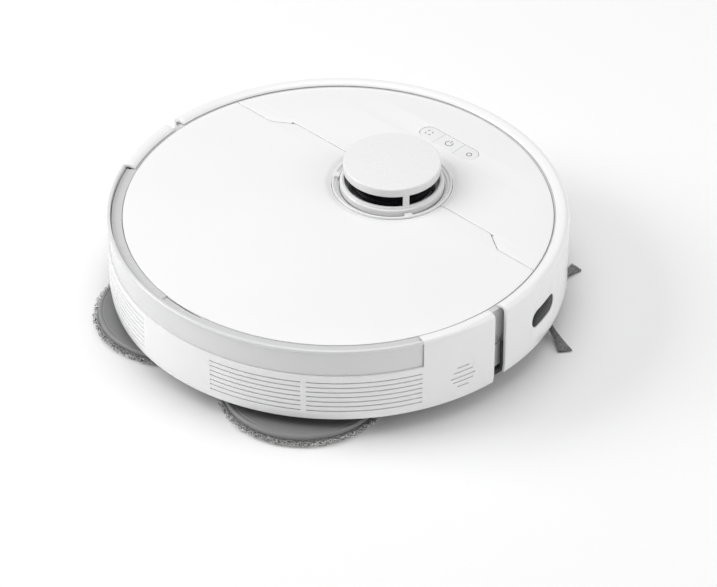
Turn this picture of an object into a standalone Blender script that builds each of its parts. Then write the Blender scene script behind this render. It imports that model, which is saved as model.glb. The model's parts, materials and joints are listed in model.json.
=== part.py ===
"""Robot vacuum with two spinning mops, a laser turret, a sprung bumper and a lift-up rear lid.

Lengths in this file are millimetres; the helpers turn them into Blender's metres. The origin is on the
floor below the middle of the round body. +Z is up, the bumper faces -Y, and the robot's right is -X.
A bearing is an angle about the body's axis, from the rear (+Y) turning towards the robot's left (+X).
"""

import math

import bmesh
import bpy
from mathutils import Matrix, Vector

MM = 0.001
GAP = 0.3
ROUND = 64
HIDDEN_ROUND = 48
SMALL = 24
FAR = 230.0

# The round body
BODY_R = 175.0
WALL = 2.3
SKIN_R = BODY_R - WALL
LIP_TOP = 80.4
SHOULDER = 6.0
RIM_R = 164.7
RIM_THICK = 2.4
WALL_BOTTOM = 16.6
BUMPER_BOTTOM = 20.0
BAND_LINE = 57.0
BAND_END = 65.0
SIDE_END = 85.2
BUMPER_END = 88.9
INNER_WALL_END = 79.2

# The deck and the lid
DECK_R = 163.0
DECK_TOP = 77.5
DECK_THICK = 2.5
DECK_BOTTOM = DECK_TOP - DECK_THICK
SEAM_Y = -59.0
SEAM_SIDE_Y = -47.7
SEAM_JOG = (102.0, 119.5)
SEAM_GAP = 0.35
HINGE = (-57.4, 76.45)
HINGE_PIN_X = (96.5, 111.0)
HINGE_PIN_R = 0.5
HINGE_BORE_R = 0.75
LEDGE_TOP = 77.0
LEDGE_R = 171.5
NOTCH_X = 18.5

# The chassis
FLOOR_BOTTOM = 9.0
FLOOR_TOP = 11.5
INNER_R = 168.0
INNER_WALL = 2.3
FLOOR_R = 160.0
SPLIT_Z = 45.0
TRAY = (71.0, 73.0)

# The laser turret
TURRET = (-3.5, -55.5)
DISH_R = 46.2
TURRET_R = 37.5
TURRET_TOP = 96.8
WINDOW_Z = (82.5, 90.0)

# The keys
KEYS = (-1.0, -122.2)
KEYS_LENGTH = 57.4
KEYS_WIDTH = 15.5
KEY_SPLIT = 10.3
KEY_TOP = 77.3
KEY_BOTTOM = 74.2

# The drive
WHEEL = (106.0, -4.0, 33.0)
WHEEL_R = 33.0
WHEEL_WIDTH = 20.0
ARM_PIVOT = (-44.0, 34.0)
HOUSING_X = (81.0, 120.0)
HOUSING_Y = (-56.0, 36.4)
HOUSING_TOP = 70.5
CASTER = (0.0, -140.5)
CASTER_R = 11.0
CASTER_TRAIL = 4.0

# The brushes
BRUSH_Y = -60.0
BRUSH_Z = 22.0
BRUSH_R = 18.5
BRUSH_HALF = 75.0
CHAMBER_R = 21.5
CHAMBER_HALF = 79.0
SIDE_BRUSH = (-119.5, -88.5)
SIDE_BRUSH_R = 61.0
SIDE_BRUSH_TURN = -83.2

# The mops
MOP_X = 67.0
MOP_Y = 106.5
PAD_R = 64.0
PAD_TOP = 4.7
PLATE_R = 60.5
PLATE_TOP = 8.6
RECESS_R = 67.5
RECESS_TOP = 17.5

# The boxes under the lid
DUST_X = 77.0
DUST_Y = (-6.0, 61.5)
DUST_Z = (22.0, 66.0)
TANK_X = 84.0
TANK_Y = 66.0
TANK_R = 157.0
TANK_Z = (46.5, 73.4)
FAN = (-112.0, 78.0)
FAN_Z = (24.0, 58.0)

# The lenses, slots and grilles
EDGE_LENS = (-105.0, 47.5, 34.6, 14.0)
FRONT_LENS = (180.0, 50.0, 62.0, 15.0)
VENT_Z = [24.9 + 4.33 * row for row in range(7)]
VENT_SPANS = ((11.5, 35.0), (36.4, 64.6))
VENT_HEIGHT = 1.2
SPEAKER_BEARING = -75.7
SPEAKER_SLOTS = ((46.2, 10.0), (42.0, 16.7), (37.2, 21.3), (33.2, 17.3), (28.8, 10.0))

COLOURS = {
    "white": ((0.86, 0.86, 0.86), 0.30, 0.0),
    "pale_grey": ((0.62, 0.62, 0.63), 0.35, 0.0),
    "mid_grey": ((0.34, 0.34, 0.35), 0.45, 0.0),
    "dark_grey": ((0.10, 0.10, 0.105), 0.50, 0.0),
    "black": ((0.02, 0.02, 0.022), 0.25, 0.0),
    "rubber": ((0.045, 0.045, 0.047), 0.75, 0.0),
    "bristle": ((0.09, 0.09, 0.09), 0.70, 0.0),
    "cloth": ((0.30, 0.30, 0.30), 0.95, 0.0),
    "smoke": ((0.16, 0.17, 0.18), 0.20, 0.0),
    "green": ((0.02, 0.16, 0.07), 0.50, 0.0),
    "steel": ((0.60, 0.60, 0.62), 0.30, 1.0),
    "brass": ((0.72, 0.55, 0.25), 0.30, 1.0),
    "blue": ((0.05, 0.14, 0.33), 0.45, 0.0),
}


def clear_scene():
    """Removes whatever the scene starts with."""
    for old in list(bpy.data.objects):
        bpy.data.objects.remove(old, do_unlink=True)


def new_collection(name):
    """A collection linked to the scene."""
    made = bpy.data.collections.new(name)
    bpy.context.scene.collection.children.link(made)
    return made


def material(name):
    """One of the named finishes, made the first time it is asked for."""
    if name in bpy.data.materials:
        return bpy.data.materials[name]
    colour, roughness, metallic = COLOURS[name]
    made = bpy.data.materials.new(name)
    made.use_nodes = True
    shader = made.node_tree.nodes["Principled BSDF"]
    shader.inputs["Base Color"].default_value = (*colour, 1.0)
    shader.inputs["Roughness"].default_value = roughness
    shader.inputs["Metallic"].default_value = metallic
    return made


def add(name, mesh, at=(0, 0, 0)):
    """A new object of the model with its origin at a place."""
    obj = bpy.data.objects.new(name, mesh)
    obj.location = Vector(at) * MM
    bpy.data.collections["robot_vacuum"].objects.link(obj)
    return obj


def finish(obj, colour):
    """Gives a finished piece its material."""
    obj.data.materials.clear()
    obj.data.materials.append(material(colour))
    return obj


def as_tool(obj):
    """Turns an object into a guide that only cuts or joins others."""
    tools = bpy.data.collections["cutters"]
    if obj.name not in tools.objects:
        bpy.data.collections["robot_vacuum"].objects.unlink(obj)
        tools.objects.link(obj)
        obj.hide_render = True
        obj.display_type = "WIRE"
    return obj


def boolean(obj, tools, operation):
    """Adds one Boolean modifier for each tool."""
    for tool in tools:
        step = obj.modifiers.new(operation.lower(), "BOOLEAN")
        step.operation = operation
        step.solver = "EXACT"
        step.object = as_tool(tool)
    return obj


def cut(obj, *tools):
    """Takes the tools away from an object."""
    return boolean(obj, tools, "DIFFERENCE")


def join(obj, *tools):
    """Adds the tools to an object as one body."""
    return boolean(obj, tools, "UNION")


def keep(obj, *tools):
    """Keeps only what lies inside each tool."""
    return boolean(obj, tools, "INTERSECT")


def lay_along(obj, axis):
    """Turns an upright object so that its height runs along the X or Y axis."""
    if axis == "X":
        obj.rotation_euler = (0, math.pi / 2, 0)
    elif axis == "Y":
        obj.rotation_euler = (-math.pi / 2, 0, 0)
    return obj


def turned(name, profile, at=(0, 0, 0), steps=ROUND, ring=False, axis="Z"):
    """A solid of revolution from (radius, height) points, in order down the outer side."""
    mesh = bpy.data.meshes.new(name)
    bm = bmesh.new()
    verts = [bm.verts.new((r * MM, 0, z * MM)) for r, z in profile]
    after = verts[1:] + verts[:1] if ring else verts[1:]
    for first, second in zip(verts, after):
        bm.edges.new((first, second))
    bm.to_mesh(mesh)
    bm.free()
    obj = add(name, mesh, at)
    screw = obj.modifiers.new("turn", "SCREW")
    screw.steps = steps
    screw.render_steps = steps
    screw.use_merge_vertices = True
    screw.merge_threshold = 1e-5
    screw.use_smooth_shade = True
    return lay_along(obj, axis)


def rod(name, radius, low, high, at=(0, 0, 0), sides=SMALL, axis="Z"):
    """A cylinder from one height to another along its axis."""
    bm = bmesh.new()
    shift = Matrix.Translation((0, 0, (low + high) / 2 * MM))
    bmesh.ops.create_cone(
        bm, cap_ends=True, segments=sides, radius1=radius * MM, radius2=radius * MM,
        depth=(high - low) * MM, matrix=shift,
    )
    mesh = bpy.data.meshes.new(name)
    bm.to_mesh(mesh)
    bm.free()
    mesh.shade_smooth()
    mesh.set_sharp_from_angle(angle=math.radians(35))
    return lay_along(add(name, mesh, at), axis)


def box(name, low, high, edge=0.0, origin=None):
    """A box between two corners, with rounded edges where edge is given."""
    low, high = Vector(low), Vector(high)
    middle = (low + high) / 2
    origin = middle if origin is None else Vector(origin)
    bm = bmesh.new()
    bmesh.ops.create_cube(bm, size=1.0)
    bmesh.ops.scale(bm, vec=(high - low) * MM, verts=bm.verts)
    bmesh.ops.translate(bm, vec=(middle - origin) * MM, verts=bm.verts)
    mesh = bpy.data.meshes.new(name)
    bm.to_mesh(mesh)
    bm.free()
    obj = add(name, mesh, origin)
    if edge:
        bevel = obj.modifiers.new("rounded edges", "BEVEL")
        bevel.width = edge * MM
        bevel.segments = 2
    return obj


def plate(name, outline, low, high, at=(0, 0, 0)):
    """A flat outline of (x, y) points extruded between two heights."""
    curve = bpy.data.curves.new(name + "_outline", "CURVE")
    curve.dimensions = "2D"
    curve.fill_mode = "BOTH"
    curve.extrude = (high - low) / 2 * MM
    spline = curve.splines.new("POLY")
    spline.points.add(len(outline) - 1)
    for point, (x, y) in zip(spline.points, outline):
        point.co = (x * MM, y * MM, 0, 1)
    spline.use_cyclic_u = True
    guide = bpy.data.objects.new(name + "_outline", curve)
    bpy.context.scene.collection.objects.link(guide)
    evaluated = guide.evaluated_get(bpy.context.evaluated_depsgraph_get())
    mesh = bpy.data.meshes.new_from_object(evaluated)
    bpy.data.objects.remove(guide)
    bm = bmesh.new()
    bm.from_mesh(mesh)
    bmesh.ops.remove_doubles(bm, verts=bm.verts, dist=1e-6)
    bmesh.ops.translate(bm, vec=(0, 0, (low + high) / 2 * MM), verts=bm.verts)
    bmesh.ops.recalc_face_normals(bm, faces=bm.faces)
    bm.to_mesh(mesh)
    bm.free()
    return add(name, mesh, at)


def polar(radius, bearing):
    """The (x, y) place at a radius and bearing about the body's axis."""
    turn = math.radians(bearing)
    return radius * math.sin(turn), radius * math.cos(turn)


def arc(centre, radius, start, end, count):
    """Points along an arc, its angles counted anticlockwise from +X."""
    points = []
    for index in range(count):
        turn = math.radians(start + (end - start) * index / (count - 1))
        points.append((centre[0] + radius * math.cos(turn), centre[1] + radius * math.sin(turn)))
    return points


def wedge(name, start, end, low, high):
    """A slice of the body between two bearings, wider than the body."""
    count = max(2, int(abs(end - start) / 15) + 1)
    rim = [polar(FAR, start + (end - start) * step / (count - 1)) for step in range(count)]
    return plate(name, [(0, 0)] + rim, low, high)


def stadium(length, width, count=9):
    """The outline of a strip with round ends, centred on the origin."""
    reach = (length - width) / 2
    return arc((reach, 0), width / 2, -90, 90, count) + arc((-reach, 0), width / 2, 90, 270, count)


def facing_out(obj, bearing, height):
    """Stands a flat plate up so that its thickness runs outwards at a bearing."""
    outward = Vector((*polar(1.0, bearing), 0.0))
    up = Vector((0, 0, 1))
    side = up.cross(outward)
    obj.rotation_euler = Matrix((side, up, outward)).transposed().to_euler()
    obj.location = Vector((0, 0, height * MM))
    return obj


def rim_profile(bottom, taper=0.8):
    """The section of the bumper and the side walls: a plain wall under a rounded shoulder."""
    outer = arc((BODY_R - SHOULDER, LIP_TOP - SHOULDER), SHOULDER, 90, 0, 5)
    inside = SHOULDER - RIM_THICK
    inner = arc((BODY_R - SHOULDER, LIP_TOP - SHOULDER), inside, 0, 90, 3)
    foot = [(BODY_R, bottom + 7), (BODY_R - taper, bottom), (SKIN_R - taper, bottom)]
    return [(RIM_R, LIP_TOP)] + outer + foot + [(SKIN_R, bottom + 7)] + inner + [(RIM_R, LIP_TOP - RIM_THICK)]


def seam_outline(shift):
    """The area behind the deck's seam, its front edge moved back by a shift."""
    near, far = SEAM_JOG
    front, side = SEAM_Y + shift, SEAM_SIDE_Y + shift
    slope = math.degrees(math.atan2(side - front, far - near))
    soft = 8.0
    reach = soft * math.tan(math.radians(slope / 2))
    inner = arc((near - reach, front + soft), soft, -90, -90 + slope, 4)
    outer = arc((far + reach, side - soft), soft, 90 + slope, 90, 4)
    right = inner + outer + [(FAR, side)]
    left = [(-x, y) for x, y in reversed(right)]
    return left + right + [(FAR, FAR), (-FAR, FAR)]


def mop_outline(radius):
    """Two circles about the mops, open between them towards the rear."""
    start = 180 + math.degrees(math.acos((MOP_X - 0.1) / radius))
    left = arc((MOP_X, MOP_Y), radius, start, 450, 22)
    right = [(-x, y) for x, y in reversed(left)]
    return left + [(60, FAR), (-60, FAR)] + right


def base_shell():
    """The lower shell: floor, upstand, front wall, wheel wells, mop roof and caster pocket."""
    inner = INNER_R - INNER_WALL
    shell = turned("base_shell", [
        (0, FLOOR_TOP), (FLOOR_R - 1.4, FLOOR_TOP), (inner, 19.6), (inner, SPLIT_Z), (INNER_R, SPLIT_Z),
        (INNER_R, 18.5), (FLOOR_R, FLOOR_BOTTOM), (0, FLOOR_BOTTOM),
    ], steps=HIDDEN_ROUND)
    cut(shell, wedge("rear_wall_cutter", -INNER_WALL_END, INNER_WALL_END, 24, SPLIT_Z + 5))
    cut(shell, plate("mop_opening", mop_outline(RECESS_R + 1), -5, RECESS_TOP + 0.8))
    roof = plate("mop_roof", mop_outline(RECESS_R + 2), FLOOR_BOTTOM + 1, RECESS_TOP + 2)
    cut(roof, plate("mop_recess", mop_outline(RECESS_R), -5, RECESS_TOP))
    keep(roof, rod("mop_roof_limit", INNER_R - 1, 0, 40, sides=ROUND))
    join(shell, roof)
    for side in (-1, 1):
        cut(shell, rod("spindle_hole", 12.5, 0, 40, (side * MOP_X, MOP_Y, 0), 24))
        low, high = sorted((side * (HOUSING_X[0] + 1.5), side * (HOUSING_X[1] - 2.5)))
        cut(shell, box("wheel_well", (low, HOUSING_Y[0] + 2, 0), (high, HOUSING_Y[1] - 1.6, 30)))
        cut(shell, box("contact_recess", (side * 42 - 11.3, -152.3, 0), (side * 42 + 11.3, -143.7, 10)))
    cut(shell, box("brush_inlet", (-CHAMBER_HALF + 2, -81.5, 0), (CHAMBER_HALF - 2, -38.5, 30)))
    cut(shell, box("battery_bay", (-68, -121.8, 0), (68, -86, 30)))
    join(shell, rod("caster_pocket", 18.3, 10, 29, (*CASTER, 0), 24))
    cut(shell, rod("caster_space", 16.5, 0, 27, (*CASTER, 0), 24))
    cut(shell, rod("caster_stem_hole", 3.4, 0, 40, (*CASTER, 0), 16))
    cut(shell, rod("side_brush_hole", 4.6, 0, 40, (*SIDE_BRUSH, 0), 16))
    return finish(shell, "dark_grey")


def top_frame():
    """The upper frame: inner wall, ledge round the deck and the tray under it."""
    inner = INNER_R - INNER_WALL
    frame = turned("top_frame", [
        (0, TRAY[1]), (inner - 2.2, TRAY[1]), (inner - 2.2, LEDGE_TOP), (LEDGE_R, LEDGE_TOP),
        (LEDGE_R, LEDGE_TOP - 2.2), (INNER_R, LEDGE_TOP - 2.2),
        (INNER_R, SPLIT_Z + GAP), (inner, SPLIT_Z + GAP),
        (inner, TRAY[0]), (0, TRAY[0]),
    ], steps=HIDDEN_ROUND)
    core = INNER_R - 0.05
    front = turned("front_ledge_cutter", [(core, 90), (FAR, 90), (FAR, 70), (core, 70)],
                   steps=HIDDEN_ROUND, ring=True)
    cut(front, wedge("rear_ledge_span", -BAND_END + 0.2, BAND_END - 0.2, 50, 100))
    cut(frame, front)
    cut(frame, wedge("frame_rear_cutter", -INNER_WALL_END, INNER_WALL_END, 40, 60))
    cut(frame, rod("turret_hole", DISH_R + 0.4, 60, 80, (*TURRET, 0), 48))
    cut(frame, box("dust_bay", (-DUST_X - 1, DUST_Y[0] - 1, 60), (DUST_X + 1, DUST_Y[1] + 1, 74)))
    cut(frame, plate("tank_bay", tank_outline(0.8), 60, 74))
    cut(frame, box("finger_notch", (-NOTCH_X, DECK_R - 6, LEDGE_TOP - 2.4), (NOTCH_X, DECK_R + 4.4, 90)))
    return finish(frame, "pale_grey")


def tank_outline(grow):
    """The water tank seen from above: straight front and sides, round rear."""
    x, y, r = TANK_X + grow, TANK_Y - grow, TANK_R + grow
    turn = math.degrees(math.acos(x / r))
    return [(-x, y), (x, y)] + arc((0, 0), r, turn, 180 - turn, 17)


def rear_shell():
    """The side and rear wall, with air vents and the speaker's slots."""
    shell = turned("rear_shell", rim_profile(WALL_BOTTOM), ring=True)
    keep(shell, wedge("rear_shell_span", -SIDE_END, SIDE_END, 0, 120))
    cut(shell, wedge("band_space", -BAND_END, BAND_END, BAND_LINE, 120))
    for low, high in VENT_SPANS:
        for start, end in ((low, high), (-high, -low)):
            for z in VENT_Z:
                slot = wedge("vent_slot", start, end, z - VENT_HEIGHT / 2, z + VENT_HEIGHT / 2)
                cut(shell, slot)
    for z, width in SPEAKER_SLOTS:
        half = math.degrees(width / 2 / BODY_R)
        start, end = SPEAKER_BEARING - half, SPEAKER_BEARING + half
        cut(shell, wedge("speaker_slot", start, end, z - VENT_HEIGHT / 2, z + VENT_HEIGHT / 2))
    return finish(shell, "white")


def rear_trim_band():
    """The recessed band round the rear with its raised lip."""
    lip = arc((BODY_R - 1.4, LIP_TOP - 1.2), 1.2, 90, 0, 3)
    band = turned("rear_trim_band", [(LEDGE_R + GAP, LIP_TOP)] + lip + [
        (BODY_R - 0.2, 78.2), (BODY_R - 1.2, 77.4), (BODY_R - 1.5, BAND_LINE + GAP),
        (SKIN_R - 1.4, BAND_LINE + GAP), (LEDGE_R + GAP, 72),
    ], ring=True)
    keep(band, wedge("band_span", -BAND_END + 0.15, BAND_END - 0.15, 0, 120))
    return finish(band, "white")


def front_deck():
    """The fixed front part of the deck, with the key strip's opening."""
    deck = turned("front_deck", [
        (0, DECK_TOP), (DECK_R - 0.5, DECK_TOP), (DECK_R, DECK_TOP - 0.5), (DECK_R, TRAY[1] + GAP),
        (DECK_R - 2.5, TRAY[1] + GAP), (DECK_R - 2.5, DECK_BOTTOM), (0, DECK_BOTTOM),
    ])
    cut(deck, plate("lid_space", seam_outline(-SEAM_GAP), 60, 90))
    for side in (-1, 1):
        low, high = sorted((side * 98.0, side * 106.0))
        cut(deck, rod("lid_swing", 1.5, low, high, (0, *HINGE), 24, axis="X"))
        low, high = sorted((side * 104.0, side * (HINGE_PIN_X[1] + GAP)))
        cut(deck, rod("hinge_bore", HINGE_BORE_R, low, high, (0, *HINGE), 12, axis="X"))
    cut(deck, rod("turret_opening", DISH_R + 0.4, 60, 90, (*TURRET, 0), 48))
    cut(deck, plate("key_opening", stadium(KEYS_LENGTH, KEYS_WIDTH), 60, 90, (*KEYS, 0)))
    return finish(deck, "white")


def lid():
    """The rear lid, hinged along the seam."""
    cover = turned("lid", [
        (0, DECK_TOP), (DECK_R - 0.5, DECK_TOP), (DECK_R, DECK_TOP - 0.5), (DECK_R, DECK_BOTTOM),
        (0, DECK_BOTTOM),
    ])
    keep(cover, plate("lid_area", seam_outline(SEAM_GAP), 60, 90))
    for side in (-1, 1):
        low, high = sorted((side * (HINGE_PIN_X[0] - GAP), side * 108.0))
        cut(cover, rod("lid_bore", HINGE_BORE_R, low, high, (0, *HINGE), 12, axis="X"))
    cut(cover, rod("lid_turret_opening", DISH_R + 0.4, 60, 90, (*TURRET, 0), 48))
    return finish(cover, "white")


def hinge_pins():
    """Two steel pins between the lid and the front deck."""
    for side, name in ((-1, "right"), (1, "left")):
        low, high = sorted((side * HINGE_PIN_X[0], side * HINGE_PIN_X[1]))
        pin = rod(f"lid_hinge_pin_{name}", HINGE_PIN_R, low, high, (0, *HINGE), 12, axis="X")
        finish(pin, "steel")


def stadium_prism(name, lens, shrink=0.0):
    """The round-ended prism of a lens, standing outwards through the bumper."""
    bearing, height, length, width = lens
    prism = plate(name, stadium(length - 2 * shrink, width - 2 * shrink), 150, 190)
    return facing_out(prism, bearing, height)


def bumper():
    """The front bumper with its two lens openings, and the lenses."""
    shell = turned("bumper_shell", rim_profile(BUMPER_BOTTOM), ring=True)
    keep(shell, wedge("bumper_span", BUMPER_END, 360 - BUMPER_END, 0, 120))
    for name, lens in (("edge_sensor_window", EDGE_LENS), ("front_ir_window", FRONT_LENS)):
        cut(shell, stadium_prism(name + "_opening", lens))
        pane = turned(name, [
            (BODY_R - 0.6, 75), (BODY_R - 0.6, 30), (SKIN_R - 0.2, 30), (SKIN_R - 0.2, 75),
        ], ring=True)
        keep(pane, stadium_prism(name + "_outline", lens, GAP))
        finish(pane, "black")
    return finish(shell, "white")


def lidar():
    """The laser turret: dish, pressable cover on three posts, and spinning head."""
    dish = turned("lidar_base", [
        (0, 59), (33, 59), (33, 72), (44.4, 72), (44.4, 77.2),
        (DISH_R, 77.2), (DISH_R, 70), (35, 70), (35, 57),
        (0, 57),
    ], (*TURRET, 0), 32)
    finish(dish, "white")
    cap = [(0, TURRET_TOP), (33, TURRET_TOP)] + arc((34.3, 93.6), 3.2, 70, 0, 3)
    cover = turned("lidar_cover", cap + [
        (TURRET_R, WINDOW_Z[1]), (TURRET_R - 1.8, WINDOW_Z[1]), (TURRET_R - 1.8, 93.6), (0, 94.4),
    ], (*TURRET, 0), 32)
    skirt = turned("turret_skirt", [
        (36.6, WINDOW_Z[0]), (38.5, WINDOW_Z[0]), (38.5, 80.0), (40.2, 79.2), (40.2, 73.8), (37.6, 73.8),
    ], (*TURRET, 0), 32, ring=True)
    join(cover, skirt)
    for bearing in (-60, 60, 180):
        x, y = polar(36.9, bearing)
        post = box("turret_post", (-2.5, -1.0, WINDOW_Z[0] - 2), (2.5, 0.9, WINDOW_Z[1] + 2),
                   origin=(0, 0, 0))
        post.location = Vector((TURRET[0] + x, TURRET[1] + y, 0)) * MM
        post.rotation_euler = (0, 0, -math.radians(bearing))
        join(cover, post)
    finish(cover, "white")
    head = turned("lidar_head", [
        (0, 91.5), (27, 91.5), (29.5, 89.5), (30, 80), (31.5, 79.3),
        (31.5, 76.5), (6, 76.5), (6, 61), (0, 61),
    ], (*TURRET, 0), 24)
    for side in (-1, 1):
        cut(head, rod("head_eye", 5, 26.5, 40, (TURRET[0] + side * 9, TURRET[1], 86), 16, axis="Y"))
    finish(head, "black")


def keys():
    """Three keys side by side in one round-ended strip."""
    half = KEYS_LENGTH / 2
    spans = {
        "key_home": (-half, -KEY_SPLIT),
        "key_power": (-KEY_SPLIT, KEY_SPLIT),
        "key_spot": (KEY_SPLIT, half),
    }
    for name, (low, high) in spans.items():
        outline = stadium(KEYS_LENGTH - 2 * GAP, KEYS_WIDTH - 2 * GAP)
        key = plate(name, outline, KEY_BOTTOM, KEY_TOP, (*KEYS, 0))
        start = -FAR if low == -half else low + GAP / 2
        end = FAR if high == half else high - GAP / 2
        keep(key, box(name + "_span", (KEYS[0] + start, -FAR, 60), (KEYS[0] + end, 0, 90)))
        finish(key, "pale_grey")


def wheels():
    """The two drive wheels, each on a swing arm in its own housing."""
    x, y, z = WHEEL
    half = WHEEL_WIDTH / 2
    for side, name in ((-1, "right"), (1, "left")):
        inner, outer = side * HOUSING_X[0], side * HOUSING_X[1]
        low, high = min(inner, outer), max(inner, outer)
        housing = box(
            f"wheel_housing_{name}", (low, HOUSING_Y[0], FLOOR_TOP + GAP), (high, HOUSING_Y[1], HOUSING_TOP))
        cut(housing, box(
            "housing_space", (low + 1.8, HOUSING_Y[0] + 1.8, 0),
            (high - 1.8, HOUSING_Y[1] - 1.8, HOUSING_TOP - 1.8)))
        finish(housing, "dark_grey")
        arm_low, arm_high = sorted((side * 84.0, side * 94.8))
        centre = (arm_low + arm_high) / 2
        width = (arm_high - arm_low) / 2
        arm = rod(f"swing_arm_{name}", 6.5, -width, width, (centre, *ARM_PIVOT), 24, axis="X")
        join(arm, rod("arm_gearbox", 14, -width, width, (centre, y, z), 32, axis="X"))
        join(arm, box("arm_web", (arm_low, ARM_PIVOT[0], ARM_PIVOT[1] - 6), (arm_high, y, ARM_PIVOT[1] + 6)))
        join(arm, box("arm_motor", (arm_low, -34, 30), (arm_high, -14, 50), 1.5))
        stub = rod("arm_stub", 4, -6, 6, (side * 97.0, y, z), 16, axis="X")
        join(arm, stub)
        finish(arm, "mid_grey")
        hub = turned(f"wheel_hub_{name}", [
            (4.4, half - 1), (13, half - 1), (15, half - 4), (22, half - 4), (24, half - 1), (28, half - 1),
            (28, -half + 1), (4.4, -half + 1),
        ], (side * x, y, z), 24, ring=True, axis="X")
        finish(hub, "mid_grey")
        tyre = turned(f"tyre_{name}", [
            (28.3, half), (31, half), (WHEEL_R, half - 2), (WHEEL_R, 2 - half), (31, -half), (28.3, -half),
        ], (side * x, y, z), 32, ring=True, axis="X")
        finish(tyre, "rubber")


def caster():
    """The swivelling front wheel: fork, wheel and axle."""
    x, y = CASTER
    centre = (x, y + CASTER_TRAIL, CASTER_R)
    fork = rod("caster_fork", 15.3, 22.6, 25.2, (x, y, 0), 32)
    join(fork, rod("caster_stem", 3.0, 24, 34, (x, y, 0), 16))
    for side in (-1, 1):
        low, high = sorted((side * 6.6, side * 8.8))
        join(fork, box("fork_cheek", (low, y - 5, 6.5), (high, y + CASTER_TRAIL + 5, 23.5)))
        fork_bore = rod("fork_bore", 1.8, low - 1, high + 1, (x, *centre[1:]), 16, axis="X")
        cut(fork, fork_bore)
    finish(fork, "dark_grey")
    wheel = turned("caster_wheel", [
        (1.8, 6.2), (9.6, 6.2), (CASTER_R, 4.8), (CASTER_R, -4.8), (9.6, -6.2), (1.8, -6.2),
    ], centre, 32, ring=True, axis="X")
    finish(wheel, "rubber")
    finish(rod("caster_axle", 1.5, -8.7, 8.7, centre, 16, axis="X"), "steel")


def main_brush():
    """The roller brush, its chamber with the suction duct, and the guard over it."""
    at = (0, BRUSH_Y, BRUSH_Z)
    core = turned("main_brush_core", [
        (0, 78.4), (3, 78.4), (3, 76.6), (12.8, 76.6), (12.8, 75.0), (9, 75.0), (9, -75.0), (12.8, -75.0),
        (12.8, -76.6), (3, -76.6), (3, -78.4), (0, -78.4),
    ], at, 24, axis="X")
    finish(core, "mid_grey")
    finish(brush_fins(at), "blue")
    chamber = rod("brush_chamber", CHAMBER_R + 2, -CHAMBER_HALF, CHAMBER_HALF, at, 48, axis="X")
    low = BRUSH_Y - CHAMBER_R - 2
    high = BRUSH_Y + CHAMBER_R + 2
    join(chamber, box(
        "chamber_skirt", (-CHAMBER_HALF, low + 0.4, FLOOR_TOP + GAP), (CHAMBER_HALF, high - 0.4, BRUSH_Z)))
    join(chamber, box("duct", (-30, BRUSH_Y, 20), (30, -9.6, 40)))
    cut(chamber, box("chamber_below", (-90, -90, -10), (90, -30, FLOOR_TOP + GAP)))
    inner = CHAMBER_HALF - 2
    cut(chamber, rod("chamber_space", CHAMBER_R, -inner, inner, at, 48, axis="X"))
    cut(chamber, box("chamber_mouth", (-inner, low + 2.4, 0), (inner, high - 2.4, BRUSH_Z)))
    cut(chamber, box("duct_space", (-28, BRUSH_Y, 22), (28, 0, 38)))
    cut(chamber, rod("roller_bearing", 3.3, -90, 90, at, 16, axis="X"))
    finish(chamber, "dark_grey")
    guard = box("brush_guard", (-80.5, -87, 6.8), (80.5, -34.5, 8.7))
    cut(guard, box("guard_window", (-BRUSH_HALF - 1.5, -81, 0), (BRUSH_HALF + 1.5, -39, 20)))
    for x in (-45, 0, 45):
        hoop = turned("guard_hoop", [(20.8, 1), (20.8, -1), (19.2, -1), (19.2, 1)],
                      (x, BRUSH_Y, BRUSH_Z), 32, True, "X")
        keep(hoop, box("hoop_part", (x - 5, -100, 0), (x + 5, -20, 8.2)))
        join(guard, hoop)
        for start, end in ((-82, -73.6), (-46.4, -38)):
            join(guard, box("guard_tab", (x - 1, start, 6.9), (x + 1, end, 8.3)))
    finish(guard, "dark_grey")


def brush_fins(at):
    """The roller's rubber sleeve: six fins that sweep round in a V."""
    fins = 6
    mesh = bpy.data.meshes.new("main_brush_fins")
    bm = bmesh.new()
    outline = []
    for index in range(fins):
        middle = 360 / fins * index
        for offset, radius in (
            (-17, 11.0), (-6, 11.2), (-3.4, BRUSH_R), (3.4, BRUSH_R), (6, 11.2), (17, 11.0)
        ):
            turn = math.radians(middle + offset)
            outline.append((radius * math.cos(turn), radius * math.sin(turn)))
    rows = 8
    length = 2 * BRUSH_HALF - 2 * GAP - 0.6
    verts = [bm.verts.new((x * MM, y * MM, -length / 2 * MM)) for x, y in outline]
    face = bm.faces.new(verts)
    for row in range(rows):
        made = bmesh.ops.extrude_face_region(bm, geom=[face])["geom"]
        if row:
            bmesh.ops.delete(bm, geom=[face], context="FACES_ONLY")
        moved = [item for item in made if isinstance(item, bmesh.types.BMVert)]
        face = next(item for item in made if isinstance(item, bmesh.types.BMFace))
        bmesh.ops.translate(bm, vec=(0, 0, length / rows * MM), verts=moved)
        turn = math.radians(10 if row < rows / 2 else -10)
        bmesh.ops.rotate(bm, cent=(0, 0, 0), matrix=Matrix.Rotation(turn, 3, "Z"), verts=moved)
    bmesh.ops.recalc_face_normals(bm, faces=bm.faces)
    bm.to_mesh(mesh)
    bm.free()
    sleeve = lay_along(add("main_brush_fins", mesh, at), "X")
    return cut(sleeve, rod("sleeve_bore", 9.3, -90, 90, at, 24, axis="X"))


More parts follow.
